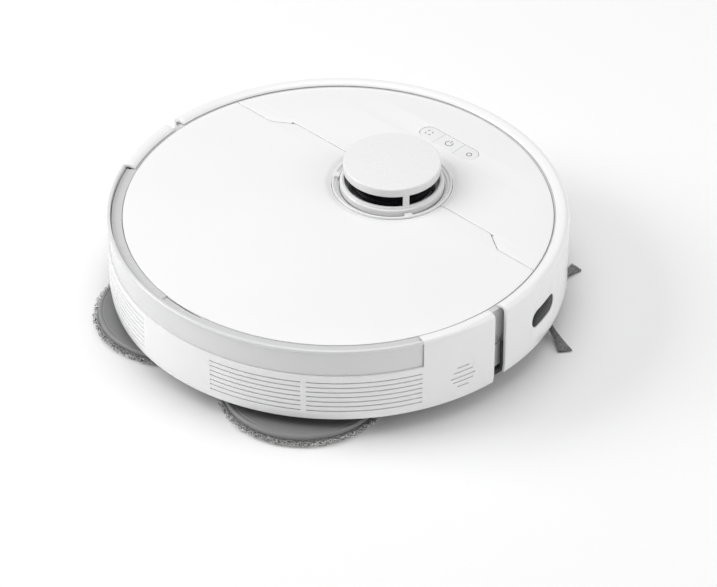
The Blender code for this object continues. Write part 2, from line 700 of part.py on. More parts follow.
def side_brush():
    """The side brush: a hub with three arms, and three flared bristle tufts."""
    x, y = SIDE_BRUSH
    hub = turned("side_brush_hub", [
        (0, 16), (3.9, 16), (3.9, 8.6), (13, 8.6), (13.5, 8.0), (13.5, 5.0), (12, 4.2), (0, 4.2),
    ], (x, y, 0), 24)
    for index in range(3):
        turn = math.radians(SIDE_BRUSH_TURN + 120 * index)
        arm = box("brush_arm", (8, -4, 4.6), (27, 4, 8.0), origin=(0, 0, 0))
        arm.location = Vector((x, y, 0)) * MM
        arm.rotation_euler = (0, 0, turn)
        join(hub, arm)
        tuft = bristle_tuft(f"side_brush_tuft_{index + 1}")
        tuft.location = Vector((x, y, 0)) * MM
        tuft.rotation_euler = (0, 0, turn)
        finish(tuft, "bristle")
    finish(hub, "dark_grey")
    motor = turned("side_brush_motor", [
        (0, 40), (15, 40), (15, 22), (8.8, 22),
        (8.8, FLOOR_TOP + GAP), (4.6, FLOOR_TOP + GAP), (4.6, 20), (0, 20),
    ], (x, y, 0), 24)
    finish(motor, "mid_grey")


def bristle_tuft(name):
    """One tuft: narrow at the arm, flared and lower at its tip."""
    bm = bmesh.new()
    bmesh.ops.create_cube(bm, size=1.0)
    root, tip = (27.3, 2.7, 4.6, 6.6), (SIDE_BRUSH_R, 6.5, 0.4, 1.8)
    for vert in bm.verts:
        reach, half, low, high = tip if vert.co.x > 0 else root
        vert.co = Vector((reach, half if vert.co.y > 0 else -half, high if vert.co.z > 0 else low)) * MM
    mesh = bpy.data.meshes.new(name)
    bm.to_mesh(mesh)
    bm.free()
    return add(name, mesh)


def mops():
    """The lifting mop drive with its two spindles, plates and pads."""
    drive = box("mop_carriage", (-MOP_X, MOP_Y - 12, 22), (MOP_X, MOP_Y + 12, 35))
    for side, name in ((-1, "right"), (1, "left")):
        at = (side * MOP_X, MOP_Y, 0)
        join(drive, rod("drive_end", 16, 22, 35, at, 32))
        cut(drive, rod("drive_bore", 6.4, 10, 32, at, 24))
        spindle = rod(f"mop_spindle_{name}", 6, 12.4, 31.5, at, 6)
        finish(spindle, "steel")
        disc = turned(f"mop_plate_{name}", [
            (0, 12.0), (10.2, 12.0), (11.0, 11.2), (12, PLATE_TOP),
            (PLATE_R - 1, PLATE_TOP), (PLATE_R, PLATE_TOP - 1),
            (PLATE_R, PAD_TOP + GAP), (0, PAD_TOP + GAP),
        ], at, 32)
        finish(disc, "dark_grey")
        pad = turned(f"mop_pad_{name}", [
            (0, PAD_TOP), (PAD_R - 1.5, PAD_TOP), (PAD_R, PAD_TOP - 1.5),
            (PAD_R, 1.5), (PAD_R - 1.5, 0), (0, 0),
        ], at, 32)
        finish(pad, "cloth")
    join(drive, rod("drive_motor", 8, -26, 26, (0, MOP_Y - 19, 30), 24, axis="X"))
    finish(drive, "mid_grey")


def boxes():
    """The dust box with its lid and filter, and the water tank with its plug."""
    low = (-DUST_X, DUST_Y[0], DUST_Z[0])
    high = (DUST_X, DUST_Y[1], DUST_Z[1])
    bin_ = box("dust_box", low, high)
    cut(bin_, box("dust_space", (low[0] + 2, low[1] + 2, low[2] + 2), (high[0] - 2, high[1] - 2, 90)))
    cut(bin_, box("dust_inlet", (-27, low[1] - 5, 24.5), (27, low[1] + 5, 37)))
    cut(bin_, box("dust_outlet", (-71, high[1] - 5, 29), (-38, high[1] + 5, 60)))
    finish(bin_, "smoke")
    top = box("dust_box_lid", (low[0], low[1], high[2] + GAP), (high[0], high[1], 73.4), 1.2)
    cut(top, box("handle_space", (-32, 12, 68.6), (32, 44, 90)))
    join(top, box("handle_bar", (-33, 26, 70.4), (33, 31, 72.8)))
    finish(top, "pale_grey")
    filter_ = box("dust_filter", (-74.6, 50, 26), (-34, high[1] - 2.3, 64), 1.0)
    finish(filter_, "white")
    tank = plate("water_tank", tank_outline(0), *TANK_Z)
    inside = plate("tank_space", tank_outline(-2), TANK_Z[0] + 2, TANK_Z[1] - 2)
    cut(tank, inside)
    cut(tank, rod("fill_hole", 8, 60, 90, (40, 90, 0), 24))
    finish(tank, "smoke")
    plug = turned("water_tank_plug", [
        (0, 74.6), (10, 74.6), (10.5, 73.7), (7.7, 73.7), (7.4, 68), (0, 68),
    ], (40, 90, 0), 24)
    finish(plug, "blue")


def insides():
    """Battery, board, fan, speaker and charging contacts."""
    finish(box("battery_pack", (-66, -121.3, 12.0), (66, -86.7, 50), 2.5), "blue")
    finish(box("battery_cover", (-67.7, -121.5, FLOOR_BOTTOM), (67.7, -86.3, 11.3)), "dark_grey")
    board = box("main_board", (-68, -141, 56), (68, -103, 57.6))
    join(board, box("board_chip", (-22, -132, 57), (-6, -116, 59.2)))
    join(board, box("board_socket", (20, -136, 57), (48, -128, 63)))
    finish(board, "green")
    low, high = FAN_Z
    housing = turned("fan_housing", [
        (0, low + 2), (20.4, low + 2), (20.4, high - 1.6), (10, high - 1.6),
        (10, high), (22, high), (22, low),
        (0, low),
    ], (*FAN, 0), 32)
    cut(housing, box("fan_outlet", (FAN[0] - 40, FAN[1] - 8, 30), (FAN[0] - 15, FAN[1] + 8, 48)))
    finish(housing, "mid_grey")
    impeller = rod("fan_impeller", 18.5, 28, 30, (*FAN, 0), 32)
    join(impeller, rod("fan_boss", 5, 29, 48, (*FAN, 0), 16))
    blades = 7
    for index in range(blades):
        blade = box("fan_blade", (4, -0.8, 29), (18, 0.8, 46), origin=(0, 0, 0))
        blade.location = Vector((*FAN, 0)) * MM
        blade.rotation_euler = (0, 0, math.radians(360 / blades * index))
        join(impeller, blade)
    finish(impeller, "white")
    speaker = plate("speaker", arc((0, 0), 14, 0, 345, 24), 152, 163)
    finish(facing_out(speaker, SPEAKER_BEARING, 37.2), "black")
    for side, name in ((-1, "right"), (1, "left")):
        contact = box(f"charging_contact_{name}",
                      (side * 42 - 11, -152, 8.5), (side * 42 + 11, -144, 9.7), 0.3)
        finish(contact, "brass")


def main():
    clear_scene()
    new_collection("robot_vacuum")
    new_collection("cutters")
    base_shell()
    top_frame()
    rear_shell()
    rear_trim_band()
    front_deck()
    lid()
    hinge_pins()
    bumper()
    lidar()
    keys()
    wheels()
    caster()
    main_brush()
    side_brush()
    mops()
    boxes()
    insides()


main()
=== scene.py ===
"""The looks of the robot vacuum: fine shells, wheels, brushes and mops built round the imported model.

Lengths are millimetres unless a name says otherwise. +Z is up, the bumper faces -Y and the robot's right
is -X. A bearing is an angle about the body's axis, from the rear (+Y) turning towards the left (+X).
"""

import json
import math
import random

import bmesh
import bpy
from mathutils import Matrix, Vector

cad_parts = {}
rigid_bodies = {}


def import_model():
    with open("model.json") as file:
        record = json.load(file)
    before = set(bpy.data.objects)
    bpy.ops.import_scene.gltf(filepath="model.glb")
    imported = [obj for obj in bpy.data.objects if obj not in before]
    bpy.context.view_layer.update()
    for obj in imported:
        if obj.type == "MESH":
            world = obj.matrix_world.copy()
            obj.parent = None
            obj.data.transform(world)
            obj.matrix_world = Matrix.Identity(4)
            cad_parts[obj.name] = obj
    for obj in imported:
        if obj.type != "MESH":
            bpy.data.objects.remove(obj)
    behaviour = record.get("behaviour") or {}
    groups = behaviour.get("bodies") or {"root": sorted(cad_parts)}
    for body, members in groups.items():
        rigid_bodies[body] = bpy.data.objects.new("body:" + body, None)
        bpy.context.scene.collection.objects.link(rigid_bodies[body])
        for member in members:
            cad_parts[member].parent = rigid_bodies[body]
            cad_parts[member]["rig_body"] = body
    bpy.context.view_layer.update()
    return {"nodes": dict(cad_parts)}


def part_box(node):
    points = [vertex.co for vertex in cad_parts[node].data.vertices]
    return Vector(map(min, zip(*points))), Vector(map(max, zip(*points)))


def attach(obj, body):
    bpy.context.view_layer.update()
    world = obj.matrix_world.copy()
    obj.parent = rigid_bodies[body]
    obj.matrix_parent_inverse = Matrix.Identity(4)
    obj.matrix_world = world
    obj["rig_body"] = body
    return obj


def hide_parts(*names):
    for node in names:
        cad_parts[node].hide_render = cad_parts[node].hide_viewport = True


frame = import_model()

MM = 0.001
FAR = 230.0


def corners(node):
    """The lowest and highest corner of a CAD node, in millimetres."""
    low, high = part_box(node)
    return low / MM, high / MM


def middle(node):
    """The middle of a CAD node, in millimetres."""
    low, high = corners(node)
    return (low + high) / 2


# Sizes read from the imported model
BODY_R = corners("bumper_shell")[1].x
LIP_TOP = corners("bumper_shell")[1].z
BUMPER_BOTTOM = corners("bumper_shell")[0].z
WALL_BOTTOM = corners("rear_shell")[0].z
SKIN_R = BODY_R - 2.3
DECK_R = corners("lid")[1].y
DECK_BOTTOM, DECK_TOP = corners("lid")[0].z, corners("lid")[1].z
LEDGE_R = corners("top_frame")[1].y
LEDGE_TOP = corners("top_frame")[1].z
SPLIT_Z = corners("base_shell")[1].z
INNER_R = -corners("base_shell")[0].y
TURRET = middle("lidar_cover")
TURRET_TOP = corners("lidar_cover")[1].z
DISH_R = (corners("lidar_base")[1].x - corners("lidar_base")[0].x) / 2
KEY_TOP = corners("key_power")[1].z
KEY_BOTTOM = corners("key_power")[0].z
KEYS = (
    (corners("key_home")[0].x + corners("key_spot")[1].x) / 2,
    middle("key_power").y,
)
KEYS_LENGTH = corners("key_spot")[1].x - corners("key_home")[0].x
KEYS_WIDTH = corners("key_power")[1].y - corners("key_power")[0].y
MOP = middle("mop_pad_left")
PAD_R = (corners("mop_pad_left")[1].x - corners("mop_pad_left")[0].x) / 2
PAD_TOP = corners("mop_pad_left")[1].z
PLATE_R = (corners("mop_plate_left")[1].x - corners("mop_plate_left")[0].x) / 2
PLATE_FOOT, PLATE_PEAK = corners("mop_plate_left")[0].z, corners("mop_plate_left")[1].z
WHEEL = middle("tyre_left")
WHEEL_R = corners("tyre_left")[1].z / 2
WHEEL_HALF = (corners("tyre_left")[1].x - corners("tyre_left")[0].x) / 2
ROLLER = middle("main_brush_fins")
ROLLER_R = ROLLER.z - corners("main_brush_fins")[0].z
ROLLER_HALF = corners("main_brush_fins")[1].x
SIDE_BRUSH = middle("side_brush_motor")

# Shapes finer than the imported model
SHOULDER = 4.6
RIM_R = 164.7
RIM_THICK = 2.4
BAND_LINE = 57.0
BAND_END = 65.0
SIDE_END = 85.2
BUMPER_END = 88.9
SEAM_Y = -59.0
SEAM_SIDE_Y = -47.7
SEAM_JOG = (102.0, 119.5)
SEAM_GAP = 0.35
LENS_SEAM = 0.6
SWING_R = 1.5
SWING_SPANS = ((99.0, 106.0), (-106.0, -99.0))
FLARE = 6.2
MARK_STEP = 21.0
VENT_Z = [24.9 + 4.33 * row for row in range(7)]
VENT_SPANS = ((11.5, 35.0), (36.4, 64.6))
VENT_HALF = 0.5
SPEAKER_BEARING = -75.7
SPEAKER_SLOTS = ((46.2, 10.0), (42.0, 16.7), (37.2, 21.3), (33.2, 17.3), (28.8, 10.0))
EDGE_LENS = (-105.0, 47.5, 34.8, 15.6)
FRONT_LENS = (180.0, 50.0, 62.0, 15.0)
TURRET_R = 37.5
WINDOW_Z = (80.9, 90.0)
NOTCH_X = 18.5
REAR_OPEN = 79.2
FLOOR_BOTTOM = 9.0
MOP_RECESS_R = 67.5
RECESS_TOP = 17.5
SCREW_BEARINGS = (90, -90, 150, -150, 118, -118)
SCREW_PLACE_R = 150
CLIFF_BEARINGS = (180 - 33, 180 + 33, 180 - 88, 180 + 88)
CLIFF_PLACE_R = 152.5
POST_BEARINGS = (-60, 60, 180)
SIDE_BRUSH_TURN = -83.2
BRISTLE_TIP = 61.0
BRISTLES = 170
FRINGE_LOOPS = 200
YARN_R = 0.27


# Materials


class Nodes:
    """Small helper that builds one material's node tree."""

    def __init__(self, name):
        self.material = bpy.data.materials.new(name)
        self.material.use_nodes = True
        self.tree = self.material.node_tree
        self.shader = self.tree.nodes["Principled BSDF"]
        self.place = self.node("ShaderNodeTexCoord").outputs["Object"]

    def node(self, kind, **values):
        """A node with its plain settings."""
        made = self.tree.nodes.new(kind)
        for name, value in values.items():
            setattr(made, name, value)
        return made

    def link(self, source, target):
        self.tree.links.new(source, target)

    def noise(self, scale, detail=3.0, stretch=(1, 1, 1), rough=0.5):
        """Noise of a scale in features per metre, stretched along the axes."""
        spread = self.node("ShaderNodeMapping")
        spread.inputs["Scale"].default_value = stretch
        self.link(self.place, spread.inputs["Vector"])
        made = self.node("ShaderNodeTexNoise")
        made.inputs["Scale"].default_value = scale
        made.inputs["Detail"].default_value = detail
        made.inputs["Roughness"].default_value = rough
        self.link(spread.outputs["Vector"], made.inputs["Vector"])
        return made.outputs["Fac"]

    def voronoi(self, scale):
        """Cells of a scale in cells per metre."""
        made = self.node("ShaderNodeTexVoronoi")
        made.inputs["Scale"].default_value = scale
        self.link(self.place, made.inputs["Vector"])
        return made.outputs["Distance"]

    def colour(self, fac, low, high, start=0.35, end=0.65):
        """The base colour runs between two colours with a factor."""
        ramp = self.node("ShaderNodeValToRGB")
        ramp.color_ramp.elements[0].position = start
        ramp.color_ramp.elements[0].color = (*low, 1)
        ramp.color_ramp.elements[1].position = end
        ramp.color_ramp.elements[1].color = (*high, 1)
        self.link(fac, ramp.inputs["Fac"])
        self.link(ramp.outputs["Color"], self.shader.inputs["Base Color"])

    def roughness(self, fac, low, high):
        """The roughness runs between two values with a factor."""
        ramp = self.node("ShaderNodeMapRange")
        ramp.inputs["From Min"].default_value = 0.3
        ramp.inputs["From Max"].default_value = 0.7
        ramp.inputs["To Min"].default_value = low
        ramp.inputs["To Max"].default_value = high
        self.link(fac, ramp.inputs["Value"])
        self.link(ramp.outputs["Result"], self.shader.inputs["Roughness"])

    def bump(self, fac, depth_mm, strength=1.0):
        """Surface relief of a depth, added over what is there already."""
        made = self.node("ShaderNodeBump")
        made.inputs["Strength"].default_value = strength
        made.inputs["Distance"].default_value = depth_mm * MM
        self.link(fac, made.inputs["Height"])
        before = self.shader.inputs["Normal"].links
        if before:
            self.link(before[0].from_socket, made.inputs["Normal"])
        self.link(made.outputs["Normal"], self.shader.inputs["Normal"])

    def fixed(self, **values):
        """Values that are the same all over the surface."""
        for name, value in values.items():
            self.shader.inputs[name.replace("_", " ")].default_value = value


def scaled(colour, factor):
    """A colour made lighter or darker."""
    return tuple(min(1.0, part * factor) for part in colour)


def moulded(name, colour, rough, grain=0.0, gloss=0.0, cloud=0.985):
    """Moulded plastic: faint flow clouds, uneven gloss and, where it is given, a fine grain."""
    made = Nodes(name)
    made.colour(made.noise(9, 4), scaled(colour, cloud), colour)
    made.roughness(made.noise(60, 5), rough * 0.86, rough * 1.14)
    made.bump(made.noise(16, 2), 0.02, 0.35)
    if grain:
        made.bump(made.noise(3800, 2), grain, 0.8)
        made.bump(made.voronoi(1900), grain * 0.6, 0.6)
    if gloss:
        made.fixed(Coat_Weight=gloss, Coat_Roughness=0.08)
    return made.material


def machined(name, colour, rough):
    """Metal with fine turning lines."""
    made = Nodes(name)
    made.colour(made.noise(140, 4), scaled(colour, 0.88), colour)
    made.roughness(made.noise(900, 3, (0.08, 1, 1)), rough * 0.7, rough * 1.3)
    made.bump(made.noise(1500, 2, (0.05, 1, 1)), 0.01, 0.5)
    made.fixed(Metallic=1.0)
    return made.material


def tread_rubber():
    """Dull rubber with dust caught in its pores."""
    made = Nodes("tread_rubber")
    made.colour(made.noise(320, 6, rough=0.7), (0.035, 0.035, 0.037), (0.075, 0.073, 0.07), 0.42, 0.72)
    made.roughness(made.noise(700, 4), 0.62, 0.86)
    made.bump(made.noise(2200, 3), 0.05, 0.7)
    return made.material


def pile(name, dark, pale, low, high):
    """Microfibre pile with darker and paler loops side by side."""
    made = Nodes(name)
    made.colour(made.noise(900, 3, rough=0.6), dark, pale, low, high)
    made.roughness(made.noise(500, 3), 0.85, 1.0)
    made.bump(made.noise(1600, 4), 0.25, 0.9)
    made.fixed(Sheen_Weight=0.35, Sheen_Roughness=0.5)
    return made.material


def nylon():
    """Bristles that shade from their roots to their tips."""
    made = Nodes("nylon_bristle")
    made.colour(made.noise(900, 4, (1, 1, 0.2)), (0.13, 0.13, 0.132), (0.34, 0.34, 0.335))
    made.roughness(made.noise(800, 2), 0.45, 0.65)
    made.bump(made.noise(2600, 2), 0.02, 0.5)
    return made.material


def board_lacquer():
    """Green board with lighter copper tracks under its lacquer."""
    made = Nodes("board_lacquer")
    made.colour(made.voronoi(240), (0.015, 0.13, 0.05), (0.03, 0.24, 0.10), 0.1, 0.35)
    made.roughness(made.noise(300, 3), 0.35, 0.55)
    made.bump(made.voronoi(500), 0.05, 0.4)
    return made.material


def pleated_paper():
    """Filter paper with fine pleats, painted darker in their hollows as shade in the folds."""
    made = Nodes("filter_paper")
    wave = made.node("ShaderNodeTexWave", bands_direction="X")
    wave.inputs["Scale"].default_value = 180
    made.link(made.place, wave.inputs["Vector"])
    # painted shade: the same wave that drives the bump darkens the hollows of the pleats
    made.colour(wave.outputs["Fac"], (0.55, 0.56, 0.56), (0.88, 0.88, 0.87), 0.1, 0.7)
    made.roughness(made.noise(900, 3), 0.85, 1.0)
    made.bump(wave.outputs["Fac"], 0.5, 0.8)
    return made.material


def smoked():
    """Smoked clear plastic."""
    made = Nodes("smoked_plastic")
    made.colour(made.noise(20, 3), (0.20, 0.21, 0.22), (0.27, 0.28, 0.29))
    made.roughness(made.noise(80, 3), 0.08, 0.16)
    made.bump(made.noise(30, 2), 0.03, 0.3)
    made.fixed(Transmission_Weight=0.55, IOR=1.5)
    return made.material


WHITE = moulded("white_shell", (0.90, 0.90, 0.90), 0.22, gloss=0.25)
BAND_WHITE = moulded("band_gloss", (0.74, 0.74, 0.745), 0.14, gloss=0.5)
LEDGE_GREY = moulded("ledge_grey", (0.62, 0.62, 0.625), 0.30)
CAP_WHITE = moulded("turret_white", (0.84, 0.84, 0.84), 0.28, gloss=0.15, cloud=0.994)
KEY_WHITE = moulded("key_white", (0.83, 0.83, 0.835), 0.30)
MARK_GREY = moulded("key_mark", (0.15, 0.15, 0.155), 0.40)
LINER = moulded("liner_grey", (0.40, 0.40, 0.41), 0.45, grain=0.03)
MID = moulded("mid_grey_plastic", (0.33, 0.33, 0.34), 0.42, grain=0.03)
DARK = moulded("chassis_plastic", (0.11, 0.11, 0.113), 0.46, grain=0.06, cloud=0.90)
# partly painted light: the plate's own mid grey is lightened to make up for the shade it lies in under the
# body
PLATE_GREY_PAINTED_LIGHT = moulded("plate_plastic_and_painted_light", (0.26, 0.26, 0.263), 0.50, grain=0.03, cloud=0.96)
BLACK = moulded("window_black", (0.012, 0.012, 0.015), 0.24)
BLACK.node_tree.nodes["Principled BSDF"].inputs["Specular IOR Level"].default_value = 0.10
SEAL = moulded("seal_black", (0.016, 0.016, 0.016), 0.60, grain=0.04)
BLUE = moulded("blue_plastic", (0.05, 0.14, 0.33), 0.40, grain=0.02)
FOAM_WHITE = moulded("fan_white", (0.80, 0.80, 0.79), 0.45, grain=0.02)
STEEL = machined("turned_steel", (0.60, 0.60, 0.62), 0.28)
CONTACT = machined("contact_plating", (0.78, 0.62, 0.34), 0.26)
RUBBER = tread_rubber()
FRINGE = pile("mop_fringe", (0.03, 0.03, 0.03), (0.97, 0.97, 0.96), 0.46, 0.51)
PILE = pile("mop_pile", (0.13, 0.13, 0.13), (0.46, 0.46, 0.455), 0.40, 0.60)
PILE_BASE = pile("mop_pile_base", (0.035, 0.035, 0.035), (0.30, 0.30, 0.298), 0.42, 0.56)
BRISTLE = nylon()
BOARD = board_lacquer()
PAPER_PAINTED_SHADE = pleated_paper()
SMOKE = smoked()


# Mesh helpers


def arc(centre, radius, start, end, count):
    """Points along an arc, its angles counted anticlockwise from +X."""
    points = []
    for index in range(count):
        turn = math.radians(start + (end - start) * index / (count - 1))
        points.append((centre[0] + radius * math.cos(turn), centre[1] + radius * math.sin(turn)))
    return points


def polar(radius, bearing):
    """The (x, y) place at a radius and bearing about the body's axis."""
    turn = math.radians(bearing)
    return radius * math.sin(turn), radius * math.cos(turn)


def soften(points, radius, steps=4):
    """A closed outline with its corners rounded; a point may bring its own radius."""
    rounded = []
    for index, point in enumerate(points):
        size = point[2] if len(point) > 2 else radius
        here = Vector(point[:2])
        back = Vector(points[index - 1][:2]) - here
        ahead = Vector(points[(index + 1) % len(points)][:2]) - here
        angle = back.angle(ahead)
        if size <= 0 or angle > math.radians(178):
            rounded.append(tuple(here))
            continue
        reach = min(size / math.tan(angle / 2), 0.46 * back.length, 0.46 * ahead.length)
        size = reach * math.tan(angle / 2)
        centre = here + (back.normalized() + ahead.normalized()).normalized() * size / math.sin(angle / 2)
        first = here + back.normalized() * reach - centre
        last = here + ahead.normalized() * reach - centre
        start = math.atan2(first.y, first.x)
        sweep = (math.atan2(last.y, last.x) - start + math.pi) % (2 * math.pi) - math.pi
        for step in range(steps + 1):
            turn = start + sweep * step / steps
            rounded.append((centre.x + size * math.cos(turn), centre.y + size * math.sin(turn)))
    return rounded


def new_object(name, bm):
    """An object from a bmesh, which is used up."""
    bmesh.ops.recalc_face_normals(bm, faces=bm.faces)
    mesh = bpy.data.meshes.new(name)
    bm.to_mesh(mesh)
    bm.free()
    obj = bpy.data.objects.new(name, mesh)
    bpy.context.scene.collection.objects.link(obj)
    return obj


def turned(name, profile, at=(0, 0, 0), start=0.0, end=360.0, step=2.0, axis="Z"):
    """A closed (radius, height) outline carried round an axis between two bearings."""
    full = abs(end - start) >= 360
    count = max(2, round(abs(end - start) / step))
    bm = bmesh.new()
    rows = []
    for index in range(count if full else count + 1):
        x, y = polar(1.0, start + (end - start) * index / count)
        rows.append([bm.verts.new((r * x * MM, r * y * MM, z * MM)) for r, z in profile])
    pairs = list(zip(rows, rows[1:] + rows[:1])) if full else list(zip(rows, rows[1:]))
    size = len(profile)
    for near, far in pairs:
        for low in range(size):
            high = (low + 1) % size
            if profile[low][0] == 0 and profile[high][0] == 0:
                continue
            bm.faces.new((near[low], near[high], far[high], far[low]))
    if not full:
        bm.faces.new(rows[0])
        bm.faces.new(list(reversed(rows[-1])))
    bmesh.ops.remove_doubles(bm, verts=bm.verts, dist=1e-7)
    bmesh.ops.dissolve_degenerate(bm, edges=bm.edges, dist=1e-7)
    if axis == "X":
        bmesh.ops.rotate(bm, cent=(0, 0, 0), matrix=Matrix.Rotation(math.pi / 2, 3, "Y"), verts=bm.verts)
    bmesh.ops.translate(bm, vec=Vector(at) * MM, verts=bm.verts)
    return new_object(name, bm)


def hoop(name, radii, heights, edge=0.0, at=(0, 0, 0), start=0.0, end=360.0, step=2.0):
    """A ring of rectangular section between two radii and two heights."""
    (near, far), (low, high) = radii, heights
    outline = soften([(near, low), (far, low), (far, high), (near, high)], edge)
    return turned(name, outline, at, start=start, end=end, step=step)


def slab(name, outlines, low, high, edge=0.0, at=(0, 0, 0)):
    """Flat outlines extruded between two heights; a second outline inside the first is a hole."""
    curve = bpy.data.curves.new(name, "CURVE")
    curve.dimensions = "2D"
    curve.fill_mode = "BOTH"
    curve.extrude = ((high - low) / 2 - edge) * MM
    curve.bevel_depth = edge * MM
    curve.bevel_resolution = 2
    curve.offset = -edge * MM
    for outline in outlines:
        spline = curve.splines.new("POLY")
        spline.points.add(len(outline) - 1)
        for point, (x, y) in zip(spline.points, outline):
            point.co = (x * MM, y * MM, 0, 1)
        spline.use_cyclic_u = True
    guide = bpy.data.objects.new(name, curve)
    bpy.context.scene.collection.objects.link(guide)
    mesh = bpy.data.meshes.new_from_object(guide.evaluated_get(bpy.context.evaluated_depsgraph_get()))
    bpy.data.objects.remove(guide)
    bm = bmesh.new()
    bm.from_mesh(mesh)
    bmesh.ops.remove_doubles(bm, verts=bm.verts, dist=1e-6)
    bmesh.ops.translate(bm, vec=Vector((at[0], at[1], (low + high) / 2 + at[2])) * MM, verts=bm.verts)
    return new_object(name, bm)


def block(name, low, high, edge=0.5):
    """A box between two corners with rounded edges."""
    low, high = Vector(low), Vector(high)
    bm = bmesh.new()
    bmesh.ops.create_cube(bm, size=1.0)
    bmesh.ops.scale(bm, vec=(high - low) * MM, verts=bm.verts)
    bmesh.ops.translate(bm, vec=(low + high) / 2 * MM, verts=bm.verts)
    if edge:
        bmesh.ops.bevel(
            bm, geom=bm.edges[:], offset=edge * MM, segments=3, profile=0.5, affect="EDGES",
            clamp_overlap=True,
        )
    return new_object(name, bm)


def disc(name, radius, low, high, at=(0, 0, 0), edge=0.3, axis="Z", step=6.0):
    """A round bar with softened rims."""
    outline = soften([(0, high, 0), (radius, high), (radius, low), (0, low, 0)], edge)
    return turned(name, outline, at, step=step, axis=axis)


def tube(bm, rings):
    """Closes rings of points into one solid."""
    loops = [[bm.verts.new(point * MM) for point in ring] for ring in rings]
    size = len(loops[0])
    for near, far in zip(loops, loops[1:]):
        for index in range(size):
            after = (index + 1) % size
            bm.faces.new((near[index], near[after], far[after], far[index]))
    bm.faces.new(list(reversed(loops[0])))
    bm.faces.new(loops[-1])


def section(centre, along, radius):
    """The three corners of a thin tube's section."""
    side = along.orthogonal().normalized()
    other = along.cross(side)
    turns = [2 * math.pi * corner / 3 for corner in range(3)]
    return [centre + (side * math.cos(turn) + other * math.sin(turn)) * radius for turn in turns]


def placed(obj, at, turn=0.0, axis="Z"):
    """Turns a piece about an axis through the origin, then moves it to a place."""
    obj.data.transform(Matrix.Translation(Vector(at) * MM) @ Matrix.Rotation(turn, 4, axis))
    return obj


def bake(obj):
    """Applies the object's modifiers."""
    mesh = bpy.data.meshes.new_from_object(obj.evaluated_get(bpy.context.evaluated_depsgraph_get()))
    obj.modifiers.clear()
    obj.data = mesh
    return obj


def merged(name, *parts):
    """Separate solids as one object."""
    bm = bmesh.new()
    for part in parts:
        part.data.transform(part.matrix_world)
        bm.from_mesh(part.data)
        bpy.data.objects.remove(part)
    return new_object(name, bm)


def combine(obj, *tools, operation="DIFFERENCE"):
    """Cuts the tools from an object, or joins or keeps them, and removes the tools."""
    for tool in tools:
        step = obj.modifiers.new("tool", "BOOLEAN")
        step.operation = operation
        step.solver = "EXACT"
        step.object = tool
    bake(obj)
    for tool in tools:
        bpy.data.objects.remove(tool)
    return obj


def soft_edges(obj, width=0.25, limit=38):
    """Rounds every edge sharper than a limit."""
    step = obj.modifiers.new("soft edges", "BEVEL")
    step.width = width * MM
    step.segments = 2
    step.limit_method = "ANGLE"
    step.angle_limit = math.radians(limit)
    step.harden_normals = False
    return bake(obj)


def dress(obj, material, body, slot, *nodes, angle=30):
    """Gives a finished piece its material and its body, and hides the nodes it stands for; the slot is not
    used.
    """
    obj.data.materials.clear()
    obj.data.materials.append(material)
    for face in obj.data.polygons:
        face.material_index = 0
    obj.data.shade_smooth()
    obj.data.set_sharp_from_angle(angle=math.radians(angle))
    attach(obj, body)
    if nodes:
        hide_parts(*nodes)
    return obj


def refined(node, material, slot, width=0.4):
    """A CAD node's own shape with rounded edges."""
    mesh = frame["nodes"][node].data.copy()
    bm = bmesh.new()
    bm.from_mesh(mesh)
    bmesh.ops.remove_doubles(bm, verts=bm.verts, dist=1e-6)
    bmesh.ops.dissolve_limit(bm, angle_limit=math.radians(1.0), verts=bm.verts, edges=bm.edges)
    obj = new_object(node + "_skin", bm)
    soft_edges(obj, width, 42)
    return dress(obj, material, frame["nodes"][node]["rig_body"], slot, node, angle=42)


def wedge(start, end, low, high):
    """A slice of the body between two bearings, wider than the body."""
    count = max(2, int(abs(end - start) / 10) + 1)
    rim = [polar(FAR, start + (end - start) * step / (count - 1)) for step in range(count)]
    return slab("wedge", [[(0, 0)] + rim], low, high)


def stadium(length, width, count=17):
    """The outline of a strip with round ends, centred on the origin."""
    reach = (length - width) / 2
    return arc((reach, 0), width / 2, -90, 90, count) + arc((-reach, 0), width / 2, 90, 270, count)


def facing_out(obj, bearing, height):
    """Stands a flat plate up so that its thickness runs outwards at a bearing."""
    outward = Vector((*polar(1.0, bearing), 0.0))
    up = Vector((0, 0, 1))
    turn = Matrix((up.cross(outward), up, outward)).transposed().to_4x4()
    obj.data.transform(Matrix.Translation((0, 0, height * MM)) @ turn)
    return obj


def wall_profile(bottom, taper=0.8):
    """The section of the bumper and the side walls, with a soft rim and foot."""
    crest = BODY_R - SHOULDER
    outer = arc((crest, LIP_TOP - SHOULDER), SHOULDER, 90, 0, 15)
    inner = arc((crest, LIP_TOP - SHOULDER), SHOULDER - RIM_THICK, 0, 90, 9)
    stretch = (crest - RIM_R) / (LIP_TOP - DECK_TOP)
    dome = arc((crest, DECK_TOP), LIP_TOP - DECK_TOP, 165, 95, 8)
    rim = [(RIM_R, DECK_TOP + 0.5)] + [(crest - (crest - r) * stretch, z) for r, z in dome]
    toe = arc((BODY_R - taper - 0.7, bottom + 0.7), 0.7, -10, -90, 4)
    foot = [(BODY_R, bottom + 7)] + toe + [(SKIN_R - taper, bottom), (SKIN_R, bottom + 7)]
    return rim + outer + foot + inner + [(RIM_R, DECK_TOP + 0.25)]


def seam_outline(shift):
    """The seam from left to right as (x, y) points, moved back by a shift."""
    near, far = SEAM_JOG
    front, side = SEAM_Y + shift, SEAM_SIDE_Y + shift
    slope = math.degrees(math.atan2(side - front, far - near))
    soft = 8.0
    reach = soft * math.tan(math.radians(slope / 2))
    inner = arc((near - reach, front + soft), soft, -90, -90 + slope, 8)
    outer = arc((far + reach, side - soft), soft, 90 + slope, 90, 8)
    right = inner + outer
    left = [(-x, y) for x, y in reversed(right)]
    return left + right


# Deck, lid and keys


